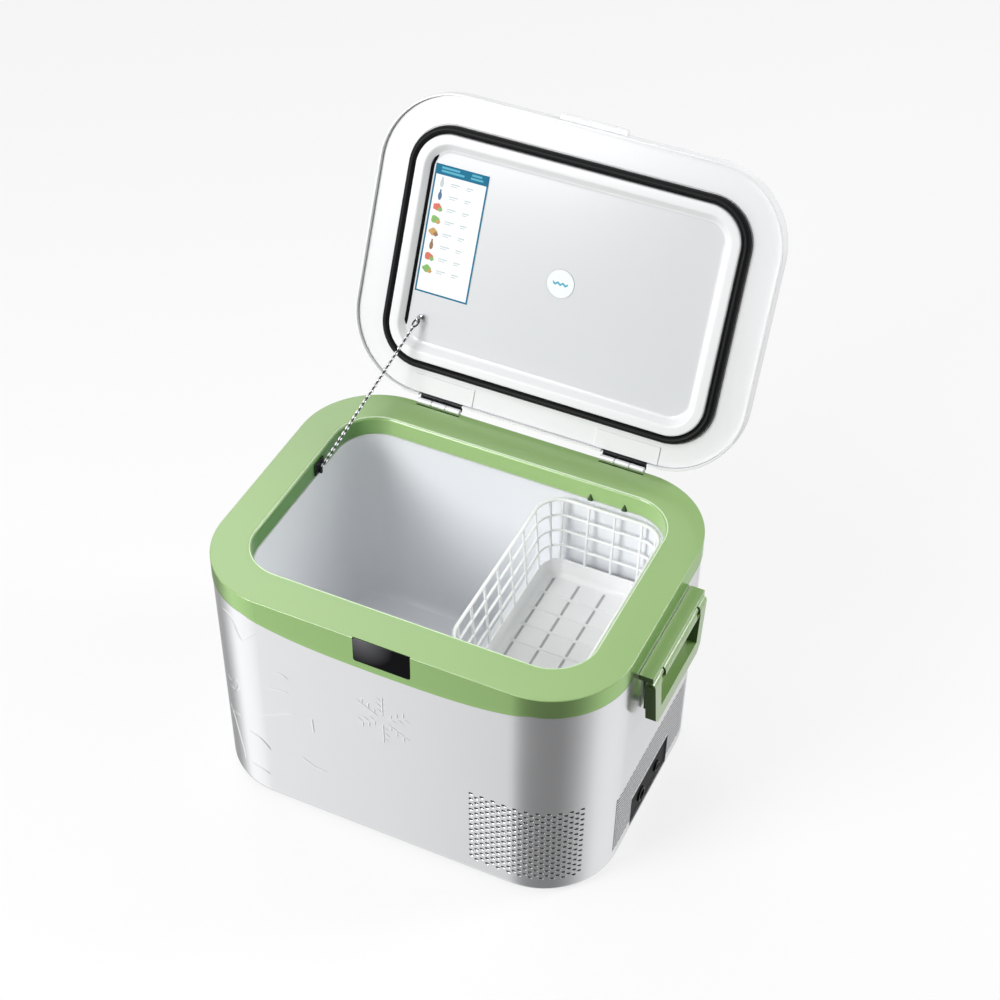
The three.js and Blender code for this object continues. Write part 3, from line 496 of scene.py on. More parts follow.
def build_shell():
    columns = shell_columns()
    rounded = 6.0
    lows = [(rounded * (1 - math.sin(a)), rounded * (1 - math.cos(a)))
            for a in (math.radians(d) for d in (90, 72, 54, 36, 18, 0))]
    lows = [(rounded - math.sqrt(max(rounded ** 2 - (rounded - e) ** 2, 0)), e)
            for e in (rounded, 4.6, 3.2, 2.0, 1.0, 0.3)]
    lows = [(z, rounded - math.sqrt(max(rounded ** 2 - (rounded - z) ** 2, 0)))
            for z in (0.0, 0.4, 1.1, 2.1, 3.4, 5.0)]
    zs = [z for z, _ in lows] + [rounded, 9.0] + [LEVEL0 + LEVEL_STEP * k for k in range(LEVELS + 1)]
    base = len(lows) + 2
    uppers = 7
    verts, faces = [], []
    grid = []
    for s in columns:
        (ax, _), _ = column(s)
        top = (apron_low(wall(s, 270)[0]) if wall(s, 270)[1] < -100 else TOP - BAND) - 0.3
        stack = []
        for skin in (0, 1):
            heights = zs + [zs[-1] + (top - zs[-1]) * (k + 1) / uppers for k in range(uppers)]
            line = []
            for k, z in enumerate(heights):
                extra = lows[k][1] if k < len(lows) and not skin else 0
                if skin and k < len(lows):
                    extra = max(rounded + SHELL_WALL - 1 - z, 0) * 0.55 if z < 6 else 0
                line.append(len(verts))
                verts.append(wall(s, z, SHELL_WALL * skin, extra))
            stack.append(line)
        grid.append(stack)
    n, rows = len(columns), len(grid[0][0])
    used = set()

    def find(s):
        return min(range(n), key=lambda i: abs(columns[i] - s))

    def cell_with_hole(c, k0, height, a, b, rim):
        c2 = (c + 1) % n
        for k in range(k0, k0 + height):
            used.add((c, k))
        mid_s = (columns[c] + columns[c2]) / 2
        low, high = zs[k0], zs[k0 + height]
        mid_z = (low + high) / 2
        loops = []
        for skin in (0, 1):
            edge = [(grid[c][skin][k], (columns[c], zs[k])) for k in range(k0, k0 + height + 1)]
            edge += [(grid[c2][skin][k], (columns[c2], zs[k])) for k in range(k0, k0 + height + 1)]
            hole = []
            for s, z in oval(mid_s, mid_z, a + (0 if skin else rim), b + (0 if skin else rim)):
                hole.append((len(verts), (s, z)))
                verts.append(wall(s, z, SHELL_WALL * skin))
            ring_faces = annulus(edge, hole, (mid_s, mid_z))
            faces.extend(ring_faces if not skin else [tuple(reversed(f)) for f in ring_faces])
            loops.append([i for i, _ in hole])
            if not skin:
                loops.append(list(range(len(verts), len(verts) + len(hole))))
                verts.extend(wall(s, z, rim * 0.9) for s, z in oval(mid_s, mid_z, a, b))
        m = len(loops[0])
        for outer, inner in zip(loops, loops[1:]):
            faces.extend((outer[i], outer[(i + 1) % m], inner[(i + 1) % m], inner[i]) for i in range(m))

    for first in (VENT_S0, 2 * SIDE_MIDDLE - VENT_S0 - VENT_PITCH * VENT_COLUMNS):
        start = find(first)
        for i in range(VENT_COLUMNS):
            for j in range(13):
                cell_with_hole(start + i, base + (2 if i % 2 == 0 else 0) + 4 * j, 4, 2.5, 1.5, 0.42)
    start = find(SIDE_MIDDLE - FINE * FINE_HALF)
    panel_rows = 17
    for i in range(2 * FINE_HALF):
        over_panel = abs(i + 0.5 - FINE_HALF) < 12
        first = base + (panel_rows + 1 if over_panel else 0) + i % 2
        while first + 2 <= base + 40:
            cell_with_hole(start + i, first, 2, 1.7, 1.62, 0.3)
            first += 2
        if over_panel:
            for k in range(base - 1, base + panel_rows):
                used.add((start + i, k))
    for c in range(n):
        c2 = (c + 1) % n
        for k in range(rows - 1):
            if (c, k) in used:
                continue
            o, q = grid[c][0], grid[c2][0]
            faces.append((o[k], q[k], q[k + 1], o[k + 1]))
            o, q = grid[c][1], grid[c2][1]
            faces.append((o[k], o[k + 1], q[k + 1], q[k]))
        for k in (0, rows - 1):
            faces.append((grid[c][0][k], grid[c2][0][k], grid[c2][1][k], grid[c][1][k]))
    low, high = base - 1, base + panel_rows
    for k in range(low, high):
        for c in (start + FINE_HALF - 12, start + FINE_HALF + 12):
            faces.append((grid[c][0][k], grid[c][0][k + 1], grid[c][1][k + 1], grid[c][1][k]))
    for c in range(start + FINE_HALF - 12, start + FINE_HALF + 12):
        for k in (low, high):
            faces.append((grid[c][0][k], grid[c + 1][0][k], grid[c + 1][1][k], grid[c][1][k]))
    shell = raw("shell", (verts, faces), SILVER, smooth=28)
    shell.data.materials.append(SILVER_DIM)
    for face in shell.data.polygons:
        x, y, z = face.center / MM
        if x > 220 and abs(y) < FINE * FINE_HALF and zs[base] < z < zs[base + 40]:
            face.material_index = 1
    return shell


shell = finish(build_shell(), "cooler_body", "shell_silver",
               "outer_shell", "front_corner_grille", "rear_corner_grille", "side_grille")


def rib(points, width, height, taper=True):
    """A low rounded rib moulded on the shell along (s, z) points."""
    fine = []
    for (s0, z0), (s1, z1) in zip(points, points[1:]):
        steps = max(2, int(math.hypot(s1 - s0, z1 - z0) / 3))
        fine += [(s0 + (s1 - s0) * i / steps, z0 + (z1 - z0) * i / steps) for i in range(steps)]
    fine.append(points[-1])
    rings = []
    for i, (s, z) in enumerate(fine):
        a, b = fine[max(i - 1, 0)], fine[min(i + 1, len(fine) - 1)]
        ds, dz = b[0] - a[0], b[1] - a[1]
        size = math.hypot(ds, dz) or 1
        us, uz = -dz / size, ds / size
        t = i / (len(fine) - 1)
        k = min(1, 6 * t + 0.15, 6 * (1 - t) + 0.15) if taper else min(1, 12 * t + 0.4, 12 * (1 - t) + 0.4)
        loop = []
        for j in range(9):
            off = j / 8 - 0.5
            lift = (0.5 + 0.5 * math.cos(2 * math.pi * off)) * height * k - 0.02
            loop.append(wall(s + us * off * width * k, z + uz * off * width * k, -lift))
        rings.append(loop)
    return stitch(rings, cap_first=True, cap_last=True)


def smooth_line(points, steps=8):
    """Points of a smooth curve through the given ones."""
    out = []
    for i in range(len(points) - 1):
        p0, p1, p2, p3 = (points[max(i - 1, 0)], points[i], points[i + 1],
                          points[min(i + 2, len(points) - 1)])
        for k in range(steps):
            t = k / steps
            out.append(tuple(0.5 * (2 * b + (c - a) * t + (2 * a - 5 * b + 4 * c - d) * t * t
                                    + (3 * b - a - 3 * c + d) * t ** 3)
                             for a, b, c, d in zip(p0, p1, p2, p3)))
    return out + [tuple(points[-1])]


WAVES = [
    [(-212, 258), (-198, 264), (-187, 266), (-179, 259), (-174, 246), (-168, 241), (-158, 252), (-146, 264)],
    [(-214, 152), (-201, 150), (-189, 161), (-185, 155), (-192, 143), (-200, 140), (-212, 138)],
    [(-142, 180), (-128, 183), (-114, 183)],
    [(-132, 209), (-121, 210), (-114, 205)],
    [(-160, 126), (-134, 140), (-108, 155)],
    [(-176, 92), (-158, 89), (-144, 75)],
    [(-176, 36), (-162, 36), (-149, 32)],
    [(-106, 85), (-90, 76), (-73, 74)],
    [(-88, 156), (-87, 133)],
    [(-216, 100), (-204, 84), (-192, 47), (-190, 30)],
    [(-214, 96), (-207, 96), (-188, 103)],
]


def build_relief():
    shapes = [rib(smooth_line(line, 6), 3.8, 0.24 if line[0][0] > -150 else 0.42) for line in WAVES]
    cs, cz = -0.4, 197
    for k in range(6):
        a = math.radians(90 + 60 * k)

        def along(r, turn=0.0, reach=0.0):
            b = a + turn
            return (cs + r * math.cos(a) + reach * math.cos(b), cz + r * math.sin(a) + reach * math.sin(b))
        shapes.append(rib([along(6), along(37)], 2.8, 0.2, taper=False))
        for r, size in ((11, 8), (19, 10), (28, 9)):
            for turn in (-1, 1):
                shapes.append(rib([along(r), along(r, turn * math.radians(58), size)], 2.8, 0.22, taper=False))
    return raw("shell_relief", merged(*shapes), SILVER, smooth=40)


finish(build_relief(), "cooler_body", "shell_silver")


# ---- collar --------------------------------------------------------------------
def build_collar():
    arc, run = 26, 24

    def band_ring(inset, z):
        points = []
        for x, y in outline(PLAN, inset, arc, run):
            low = apron_low(x) if y < -100 else TOP - BAND
            points.append((x, y, low + z))
        return points

    def level(box, inset, z):
        return ring(box, inset, z, arc, run)

    rings = [band_ring(1.2, 0.0), band_ring(0.35, 0.35), band_ring(0, 1.2)]
    round_edge, lip = 1.3, 4.0
    for z in (0.25, 0.5, 0.75):
        rings.append([(x, y, low + (TOP - round_edge - low) * z) for x, y, low in band_ring(0, 1.2)])
    for d in (0, 20, 40, 60, 80, 90):
        a = math.radians(d)
        rings.append(level(PLAN, round_edge * (1 - math.cos(a)), TOP - round_edge * (1 - math.sin(a))))
    for t in (0.33, 0.66):
        outer, inner = level(PLAN, round_edge, TOP), level(OPENING, -lip, TOP)
        rings.append([tuple(a + (b - a) * t for a, b in zip(p, q)) for p, q in zip(outer, inner)])
    for d in (90, 75, 60, 45, 30, 15, 0):
        a = math.radians(d)
        rings.append(level(OPENING, -lip * (1 - math.cos(a)), TOP - lip * (1 - math.sin(a))))
    rings.append(level(OPENING, 0, TOP - 12))
    rings.append(level(OPENING, 0, TOP - THROAT + 0.7))
    rings.append(level(OPENING, -0.7, TOP - THROAT))
    rings.append(level(OPENING, -3, TOP - THROAT))
    rings.append(level(OPENING, -3, TOP - 3.2))
    rings.append(level(PLAN, 3.5, TOP - 3.2))
    rings.append(band_ring(3.5, 0.0))
    collar = raw("collar_ring", stitch(rings, wrap=True), GREEN, smooth=30)
    x0, x1, z0, z1 = GLASS
    pocket = prism([(x, z) for x, z in outline((x0, x1, z0, z1 + 8, 3.4), 0, 8)], "y", -195, -180.2)
    carve(collar, pocket, smooth=30)
    # Throat faces get the green with painted bounce light and painted shade; the outer band gets the metallic green.
    for shade in (GREEN_THROAT_PAINTED_LIGHT_AND_SHADE, GREEN_BAND):
        collar.data.materials.append(shade)
    a, b, c, d = (v * MM for v in OPENING[:4])
    for face in collar.data.polygons:
        x, y, z = face.center
        inside = a - 0.001 < x < b + 0.001 and c - 0.001 < y < d + 0.001
        if inside and abs(face.normal.z) < 0.55 and z < (TOP - 2) * MM:
            face.material_index = 1
        elif abs(face.normal.z) < 0.4:
            face.material_index = 2
    return collar


def build_painted_edge_highlight():
    """A thin pale tube round the top edge of the opening: a painted highlight along the edge."""
    path = ring(OPENING, -2.3, TOP - 0.4, 26, 24)
    return raw("opening_painted_highlight", tube(path, 0.72, 8, closed=True), GREEN_PAINTED_HIGHLIGHT, 60)


finish(build_collar(), "cooler_body", "collar_green", "collar")
finish(build_painted_edge_highlight(), "cooler_body", "collar_green")


def build_hooks():
    shapes = []
    for x in (94, 134.5):
        foot = TOP - THROAT + 0.2
        back, front = OPENING[3] + 0.4, OPENING[3] - 3.2
        v = [(x - 3.4, back, foot), (x + 3.4, back, foot), (x + 0.8, back, foot + 7.6), (x - 0.8, back, foot + 7.6),
             (x - 2.6, front, foot), (x + 2.6, front, foot), (x + 0.5, front + 1.6, foot + 6.2),
             (x - 0.5, front + 1.6, foot + 6.2)]
        shapes.append((v, [(0, 1, 2, 3), (7, 6, 5, 4), (4, 5, 1, 0), (5, 6, 2, 1), (6, 7, 3, 2), (7, 4, 0, 3)]))
    return bevelled(raw("basket_hooks", merged(*shapes), SHADOW_GREEN), 0.5, 2)


finish(build_hooks(), "cooler_body", "collar_green")

x0, x1, z0, z1 = GLASS
# Painted reflection: the glass's colour lightens towards its top left corner.
glass_painted_reflection = GLASS_BLACK.node_tree
where = glass_painted_reflection.nodes.new("ShaderNodeTexCoord")
corner = glass_painted_reflection.nodes.new("ShaderNodeVectorMath")
corner.operation = "DISTANCE"
corner.inputs[1].default_value = ((x0 + 9) * MM, -0.182, (z1 + 3) * MM)
glass_painted_reflection.links.new(where.outputs["Object"], corner.inputs[0])
fade = glass_painted_reflection.nodes.new("ShaderNodeValToRGB")
fade.color_ramp.elements[0].color, fade.color_ramp.elements[1].color = (0.13, 0.13, 0.14, 1), (0.002, 0.002, 0.003, 1)
fade.color_ramp.elements[0].position, fade.color_ramp.elements[1].position = 0.1, 0.9
spread_out = glass_painted_reflection.nodes.new("ShaderNodeMapRange")
spread_out.inputs["From Max"].default_value = 0.042
glass_painted_reflection.links.new(corner.outputs["Value"], spread_out.inputs["Value"])
glass_painted_reflection.links.new(spread_out.outputs["Result"], fade.inputs["Fac"])
glass_painted_reflection.links.new(fade.outputs["Color"], glass_painted_reflection.nodes["Principled BSDF"].inputs["Base Color"])
glass = raw("display_window", prism(outline((x0 + 0.25, x1 - 0.25, z0 + 0.25, z1 - 0.1, 3.2), 0, 8), "y",
                                    -182.05, -180.6), GLASS_BLACK)
finish(bevelled(glass, 0.35, 3), "cooler_body", "display_glass", "display_glass")


# ---- liner ---------------------------------------------------------------------
def build_liner():
    arc = 14

    def lean(z):
        return WELL_DRAFT * (LINER_TOP - z) / (LINER_TOP - WELL_FLOOR)

    def cut_outline(z, lip=0.0):
        """The full tub at z, with points where the step's rounded edge meets its walls."""
        inset = lean(z) + lip
        x0, x1, y0, y1, r = OPENING
        pts = outline(OPENING, inset, arc)
        k = arc + 1
        right, left = pts[:2 * k], pts[2 * k:]
        edge = STEP_X - 8
        return right, [(edge, y1 - inset)] + left + [(edge, y0 + inset)]

    verts, faces = [], []

    def put(points, z):
        base = len(verts)
        verts.extend((x, y, z) for x, y in points)
        return list(range(base, base + len(points)))

    def bridge(a, b, closed):
        n = len(a)
        for i in range(n if closed else n - 1):
            j = (i + 1) % n
            faces.append((a[i], a[j], b[j], b[i]))

    heights = [(LINER_TOP, -1.2), (LINER_TOP, 1.1), (LINER_TOP - 0.6, 1.3), (LINER_TOP - 1.6, 0.4),
               (LINER_TOP - 3.2, 0), (255, 0), (225, 0), (200, 0), (185, 0), (STEP_TOP, 0)]
    lines = []
    for z, lip in heights:
        right, left = cut_outline(z, lip)
        lines.append((put(right, z), put(left, z)))
    for (r0, l0), (r1, l1) in zip(lines, lines[1:]):
        bridge(r0, r1, False)
        bridge(l0, l1, False)
        faces.append((r0[-1], l0[0], l1[0], r1[-1]))
        faces.append((l0[-1], r0[0], r1[0], l1[-1]))
    right, left = lines[-1]
    inset = lean(STEP_TOP)
    radii = (8, 8, OPENING[4], OPENING[4])
    well = (OPENING[0], STEP_X, OPENING[2], OPENING[3], OPENING[4])

    def well_outline(z, more=0.0):
        inset = lean(z)
        pts = outline((well[0] + inset, well[1], well[2] + inset, well[3] - inset, 0), more, arc,
                      radii=(8, 8, OPENING[4] - inset, OPENING[4] - inset))
        return pts

    k = arc + 1
    # the step's rounded corner points at its own height, front then back
    step_loop = put(well_outline(STEP_TOP)[:2 * k], STEP_TOP)
    left_loop = left[1:-1]
    top_loop = step_loop + left_loop
    previous = top_loop
    for z, more in [(168, 0), (140, 0), (100, 0), (60, 0), (51, 0), (46, 1.4), (43, 3.6), (41.6, 6.2), (41, 9)]:
        pts = well_outline(z, min(more, 7.6))
        loop = put(pts, z)
        bridge(previous, loop, True)
        previous = loop
    faces.append(tuple(previous))
    floor = [left[-1]] + right + [left[0]] + list(reversed(step_loop))
    faces.append(tuple(floor))
    obj = raw("liner_tub", (verts, faces), LINER_WHITE, smooth=40)
    mod = obj.modifiers.new("wall", "SOLIDIFY")
    mod.thickness, mod.offset = 0.0018, -1
    centre = Vector((-60, 0, 150)) * MM
    flip = sum(1 if p.normal.dot(centre - p.center) > 0 else -1 for p in obj.data.polygons)
    if flip < 0:
        mod.offset = 1
    return bake(obj, 40)


finish(build_liner(), "cooler_body", "liner_white", "liner")


# ---- basket --------------------------------------------------------------------
def build_basket():
    depth = BASKET_TOP - BASKET_BASE
    floor_z = BASKET_BASE + 3

    def lean(z):
        return BASKET_DRAFT * (BASKET_TOP - z) / depth

    def bar(z, half_out, half_up):
        """A rounded bar that runs round the basket at height z."""
        rings = []
        for k in range(8):
            a = 2 * math.pi * k / 8
            rings.append(ring(BASKET, lean(z) + 1.3 - half_out * math.cos(a), z + half_up * math.sin(a), 12))
        return stitch(rings, wrap=True)

    shapes = [bar(BASKET_TOP - 2.2, 2.1, 2.1)]
    levels = [BASKET_TOP - 2.6 - 21.4 * (i + 1) for i in range(4)]
    shapes += [bar(z, 1.6, 1.5) for z in levels]
    skirt_top = levels[-1]
    inner = []
    for z, inset, up in ((skirt_top, 0, 0), (BASKET_BASE + 9, 0, 0), (BASKET_BASE + 4, 1.2, 0),
                         (BASKET_BASE + 1.2, 3.6, 0), (BASKET_BASE, 7, 0)):
        inner.append(ring(BASKET, lean(z) + inset, z, 12))
    for z, inset in ((floor_z, 9.5), (floor_z + 1.2, 6.5), (BASKET_BASE + 7, 3.6), (skirt_top, 2.4)):
        inner.append(ring(BASKET, lean(z) + inset, z, 12))
    skirt_shell = stitch(inner, wrap=True)
    x0, x1, y0, y1, r = BASKET
    posts = []
    ys = [y0 + 32 + 32.5 * i for i in range(7)]
    xs = [66, 97, 128, 160]
    for y in ys:
        posts += [("x", x0, y, 1), ("x", x1, y, -1)]
    for x in xs:
        posts += [("y", x, y0, 1), ("y", x, y1, -1)]
    for kind, px, py, sign in posts:
        path = []
        for z in (skirt_top - 1, levels[-2], levels[-3], BASKET_TOP - 4):
            shift = sign * (lean(z) + 1.3)
            path.append((px + shift, py, z) if kind == "x" else (px, py + shift, z))
        shapes.append(tube(path, 1.65, 8))
    for cx, cy, a0 in ((x1, y0, -45), (x1, y1, 45), (x0, y1, 135), (x0, y0, 225)):
        path = []
        for z in (skirt_top - 1, levels[-2], levels[-3], BASKET_TOP - 4):
            inset = lean(z) + 1.3
            rr = r - inset
            mx = (x1 - r if cx == x1 else x0 + r)
            my = (y1 - r if cy == y1 else y0 + r)
            path.append((mx + rr * math.cos(math.radians(a0)), my + rr * math.sin(math.radians(a0)), z))
        shapes.append(tube(path, 1.65, 8))
    obj = raw("basket_cage", merged(*shapes), BASKET_WHITE, smooth=50)
    floor_box = (x0 + 15, x1 - 15, y0 + 15, y1 - 15, 15)
    plate = raw("basket_floor", stitch([
        ring(floor_box, 0, BASKET_BASE + 1.4, 12), ring(floor_box, 0, floor_z, 12)],
        cap_first=True, cap_last=True), BASKET_WHITE)
    skirt = raw("basket_skirt", skirt_shell, BASKET_WHITE, smooth=45)
    slots = []
    for x in xs:
        for i in range(8):
            y = y0 + 20 + 27.7 * i + 1.5
            slots.append(box_shape(x - 1.6, x + 1.6, y, y + 23.5, floor_z - 1.5, floor_z + 3))
    carve(plate, *slots)
    # The floors of the shallow slots are painted grey as the shade seen down real slots.
    plate.data.materials.append(SLOT_PAINTED_SHADE)
    for face in plate.data.polygons:
        if abs(face.center.z - (floor_z - 1.5) * MM) < 0.0002:
            face.material_index = 1
    ridges = []
    for i in range(1, 8):
        y = y0 + 20 + 27.7 * i - 0.6
        ridges.append(tube([(x0 + 17, y, floor_z), (x1 - 17, y, floor_z)], 0.9, 8))
    ridge = raw("basket_ridges", merged(*ridges), BASKET_WHITE, smooth=50)
    return obj, plate, skirt, ridge


cage, floor_plate, skirt, ridges = build_basket()
finish(cage, "basket", "basket_white", "basket")
for extra_piece in (floor_plate, skirt, ridges):
    finish(extra_piece, "basket", "basket_white")


# ---- lid, shaped shut and then swung to its rest pose ---------------------------
HINGE = Vector((0, HINGE_Y, HINGE_Z)) * MM
SWING = Matrix.Translation(HINGE) @ Matrix.Rotation(math.radians(-OPEN_DEG), 4, "X") @ Matrix.Translation(-HINGE)


def lid_piece(name, shape, mat, smooth=32):
    return raw(name, shape, mat, smooth, SWING)


def hinge_notches():
    w = 27.5
    return [box_shape(s * HINGE_X - w, s * HINGE_X + w, 160, 200, TOP - 5, FLANGE + 2.6) for s in (-1, 1)]


def build_lid_cover():
    arc, run = 26, 8
    skirt = FLANGE - 5
    outer = [(0.9, skirt), (0.25, skirt + 0.25), (0, skirt + 0.9), (0, FLANGE + 6), (0, FLANGE + 12.4),
             (0.35, FLANGE + 14.6), (1.6, FLANGE + 16.6), (4, FLANGE + 18.6), (8, FLANGE + 21.4),
             (13, FLANGE + 24.6), (18, FLANGE + 27.6), (23, FLANGE + 30.6), (27, FLANGE + 32.8),
             (32, FLANGE + 34.6), (38, FLANGE + 35.7), (46, FLANGE + 36)]
    rings = [ring(LID, i, z, arc, run) for i, z in outer]
    back = [(44, FLANGE + 33), (24, FLANGE + 27), (8, FLANGE + 17), (2.6, FLANGE + 12), (2.6, FLANGE + 2.5),
            (2.6, skirt + 0.6), (2.1, skirt)]
    inner = [ring(LID, i, z, arc, run) for i, z in back]
    verts, faces = stitch(list(reversed(rings)) + list(reversed(inner)), cap_first=True)
    n = len(rings[0])
    count = len(rings) + len(inner)
    shift = len(rings) * n
    # join the skirt's outer and inner rims instead of the two loft ends
    faces = [f for f in faces if not (max(f) >= shift and min(f) < shift)]
    first_rim = (len(rings) - 1) * n
    last_rim = shift
    faces += [(first_rim + i, first_rim + (i + 1) % n, last_rim + (i + 1) % n, last_rim + i) for i in range(n)]
    faces.append(tuple(range((count - 1) * n, count * n)))
    obj = lid_piece("lid_top", (verts, faces), LID_WHITE, 30)
    cutter = [([tuple((SWING @ (Vector(p) * MM)) / MM) for p in v], f) for v, f in hinge_notches()]
    carve(obj, *cutter, smooth=30)
    # Painted shade: the cover's top faces are greyer so they don't look overlit.
    obj.data.materials.append(COVER_TOP_PAINTED_SHADE)
    shut = SWING.inverted()
    for face in obj.data.polygons:
        if (shut @ face.center).z / MM > FLANGE + 13:
            face.material_index = 1
    return obj


def corner_reach(x, y):
    """How far outside the seal's inner outline a point lies; negative is inside."""
    x0, x1, y0, y1, r = SEAL
    px, py = abs(x) - (x1 - r), abs(y - (y0 + y1) / 2) - ((y1 - y0) / 2 - r)
    return math.hypot(max(px, 0), max(py, 0)) + min(max(px, py), 0) - r


def build_lid_panel():
    arc, run = 26, 8
    f = FLANGE
    rows = [(LID, 2.9, f + 2.3), (LID, 2.9, f + 0.5), (LID, 3.4, f), (SEAL, -10.6, f), (SEAL, -9.9, f + 0.8),
            (SEAL, -0.3, f + 0.8), (SEAL, 0.2, f), (SEAL, 0.3, f - 5.6), (SEAL, 0.75, f - 7.0), (SEAL, 2.0, f - 7.9),
            (SEAL, 3.2, f - 8), (SEAL, 10.2, f - 8), (SEAL, 11.4, f - 7.7), (SEAL, 12.6, f - 6.8),
            (SEAL, 17.2, f - 1.9), (SEAL, 18.4, f - 0.9), (SEAL, 20.0, f - 0.2), (SEAL, 22.5, f)]
    rings = [ring(box, i, z, arc, run) for box, i, z in rows]
    obj = lid_piece("lid_inner_panel", stitch(rings, cap_first=True, cap_last=True), LID_WHITE, 30)
    cutter = [([tuple((SWING @ (Vector(p) * MM)) / MM) for p in v], fc) for v, fc in hinge_notches()]
    carve(obj, *cutter, smooth=30)
    obj.data.materials.append(PANEL_WHITE)
    shut = SWING.inverted()
    for face in obj.data.polygons:
        x, y, z = (shut @ face.center) / MM
        if abs(z - FLANGE) < 0.3 and corner_reach(x, y) < -19.9:
            face.material_index = 1
    return obj


finish(build_lid_cover(), "lid", "lid_white", "lid_cover")
finish(build_lid_panel(), "lid", "lid_white", "lid_panel")


def build_recess_painted_shadow():
    """A dark strip at the foot of the recess wall on the chain side: painted shadow."""
    inner, outer = outline(SEAL, 20.6, 26, 8), outline(SEAL, 17.4, 26, 8)
    k = [i for i, (x, y) in enumerate(inner) if x < -150 and -100 < y < 102]
    n = len(k)
    low, high = [], []
    for j, i in enumerate(k):
        t = min(1, 5 * j / n, 5 * (n - 1 - j) / n)
        a, b = outer[i], inner[i]
        mid = ((a[0] + b[0]) / 2, (a[1] + b[1]) / 2)
        t = 0.08 + 0.92 * t
        a, b = [(mid[0] + (p[0] - mid[0]) * t, mid[1] + (p[1] - mid[1]) * t) for p in (a, b)]
        low.append([(a[0], a[1], FLANGE - 2.4 * t - 0.1), (b[0], b[1], FLANGE - 0.35), (b[0], b[1], FLANGE + 0.3),
                    (a[0], a[1], FLANGE + 0.3)])
    return lid_piece("recess_painted_shadow", stitch(low, cap_first=True, cap_last=True), SEAL_RUBBER, 40)


finish(build_recess_painted_shadow(), "lid", "seal_rubber")

lip = raw("lid_finger_lip", prism(
    [(-178, FLANGE + 3.2), (-177.2, FLANGE + 1.6), (-175, FLANGE + 1), (-170, FLANGE + 1),
     (-170, FLANGE + 11), (-175, FLANGE + 10), (-177.2, FLANGE + 8), (-178, FLANGE + 6)], "x", -38, 42),
    LID_WHITE, 40, SWING)
finish(bevelled(lip, 1.6, 4), "lid", "lid_white")


def build_seal():
    arc, run = 26, 8
    crest = FLANGE - 8
    rows = [(-9.0, FLANGE - 0.2), (-9.2, FLANGE - 2.4), (-9.0, FLANGE - 4.4), (-8.1, FLANGE - 6.3),
            (-6.7, crest + 0.5), (-5.1, crest), (-3.6, crest + 0.35), (-2.4, crest + 1.1),
            (-1.8, crest + 2.3), (-1.0, crest + 2.9), (-0.35, crest + 3.8), (-0.1, FLANGE - 2.4),
            (-0.2, FLANGE - 0.2)]
    rings = [ring(SEAL, i, z, arc, run) for i, z in rows]
    return lid_piece("lid_gasket", stitch(rings, wrap=True), SEAL_RUBBER, 40)


finish(build_seal(), "lid", "seal_rubber", "lid_seal")

PAPER_Z = FLANGE - 0.05


def flat(points, thickness, mat_name, z=PAPER_Z):
    return prism(points, "z", z - thickness, z)


CHART = (-169.5, -103.5, -90.5, 58)
cx0, cx1, cy0, cy1 = CHART
chart = raw("storage_chart", prism(outline((cx0, cx1, cy0, cy1, 1.5), 0, 5), "z", PAPER_Z - 0.3, PAPER_Z),
            PAPER, 32, SWING)
finish(chart, "lid", "label_paper", "food_chart")


def blob(cx, cy, rx, ry, n=18, lobes=0, depth=0.0):
    return [(cx + rx * (1 + depth * math.cos(lobes * t)) * math.cos(t),
             cy + ry * (1 + depth * math.cos(lobes * t)) * math.sin(t))
            for t in (2 * math.pi * i / n for i in range(n))]


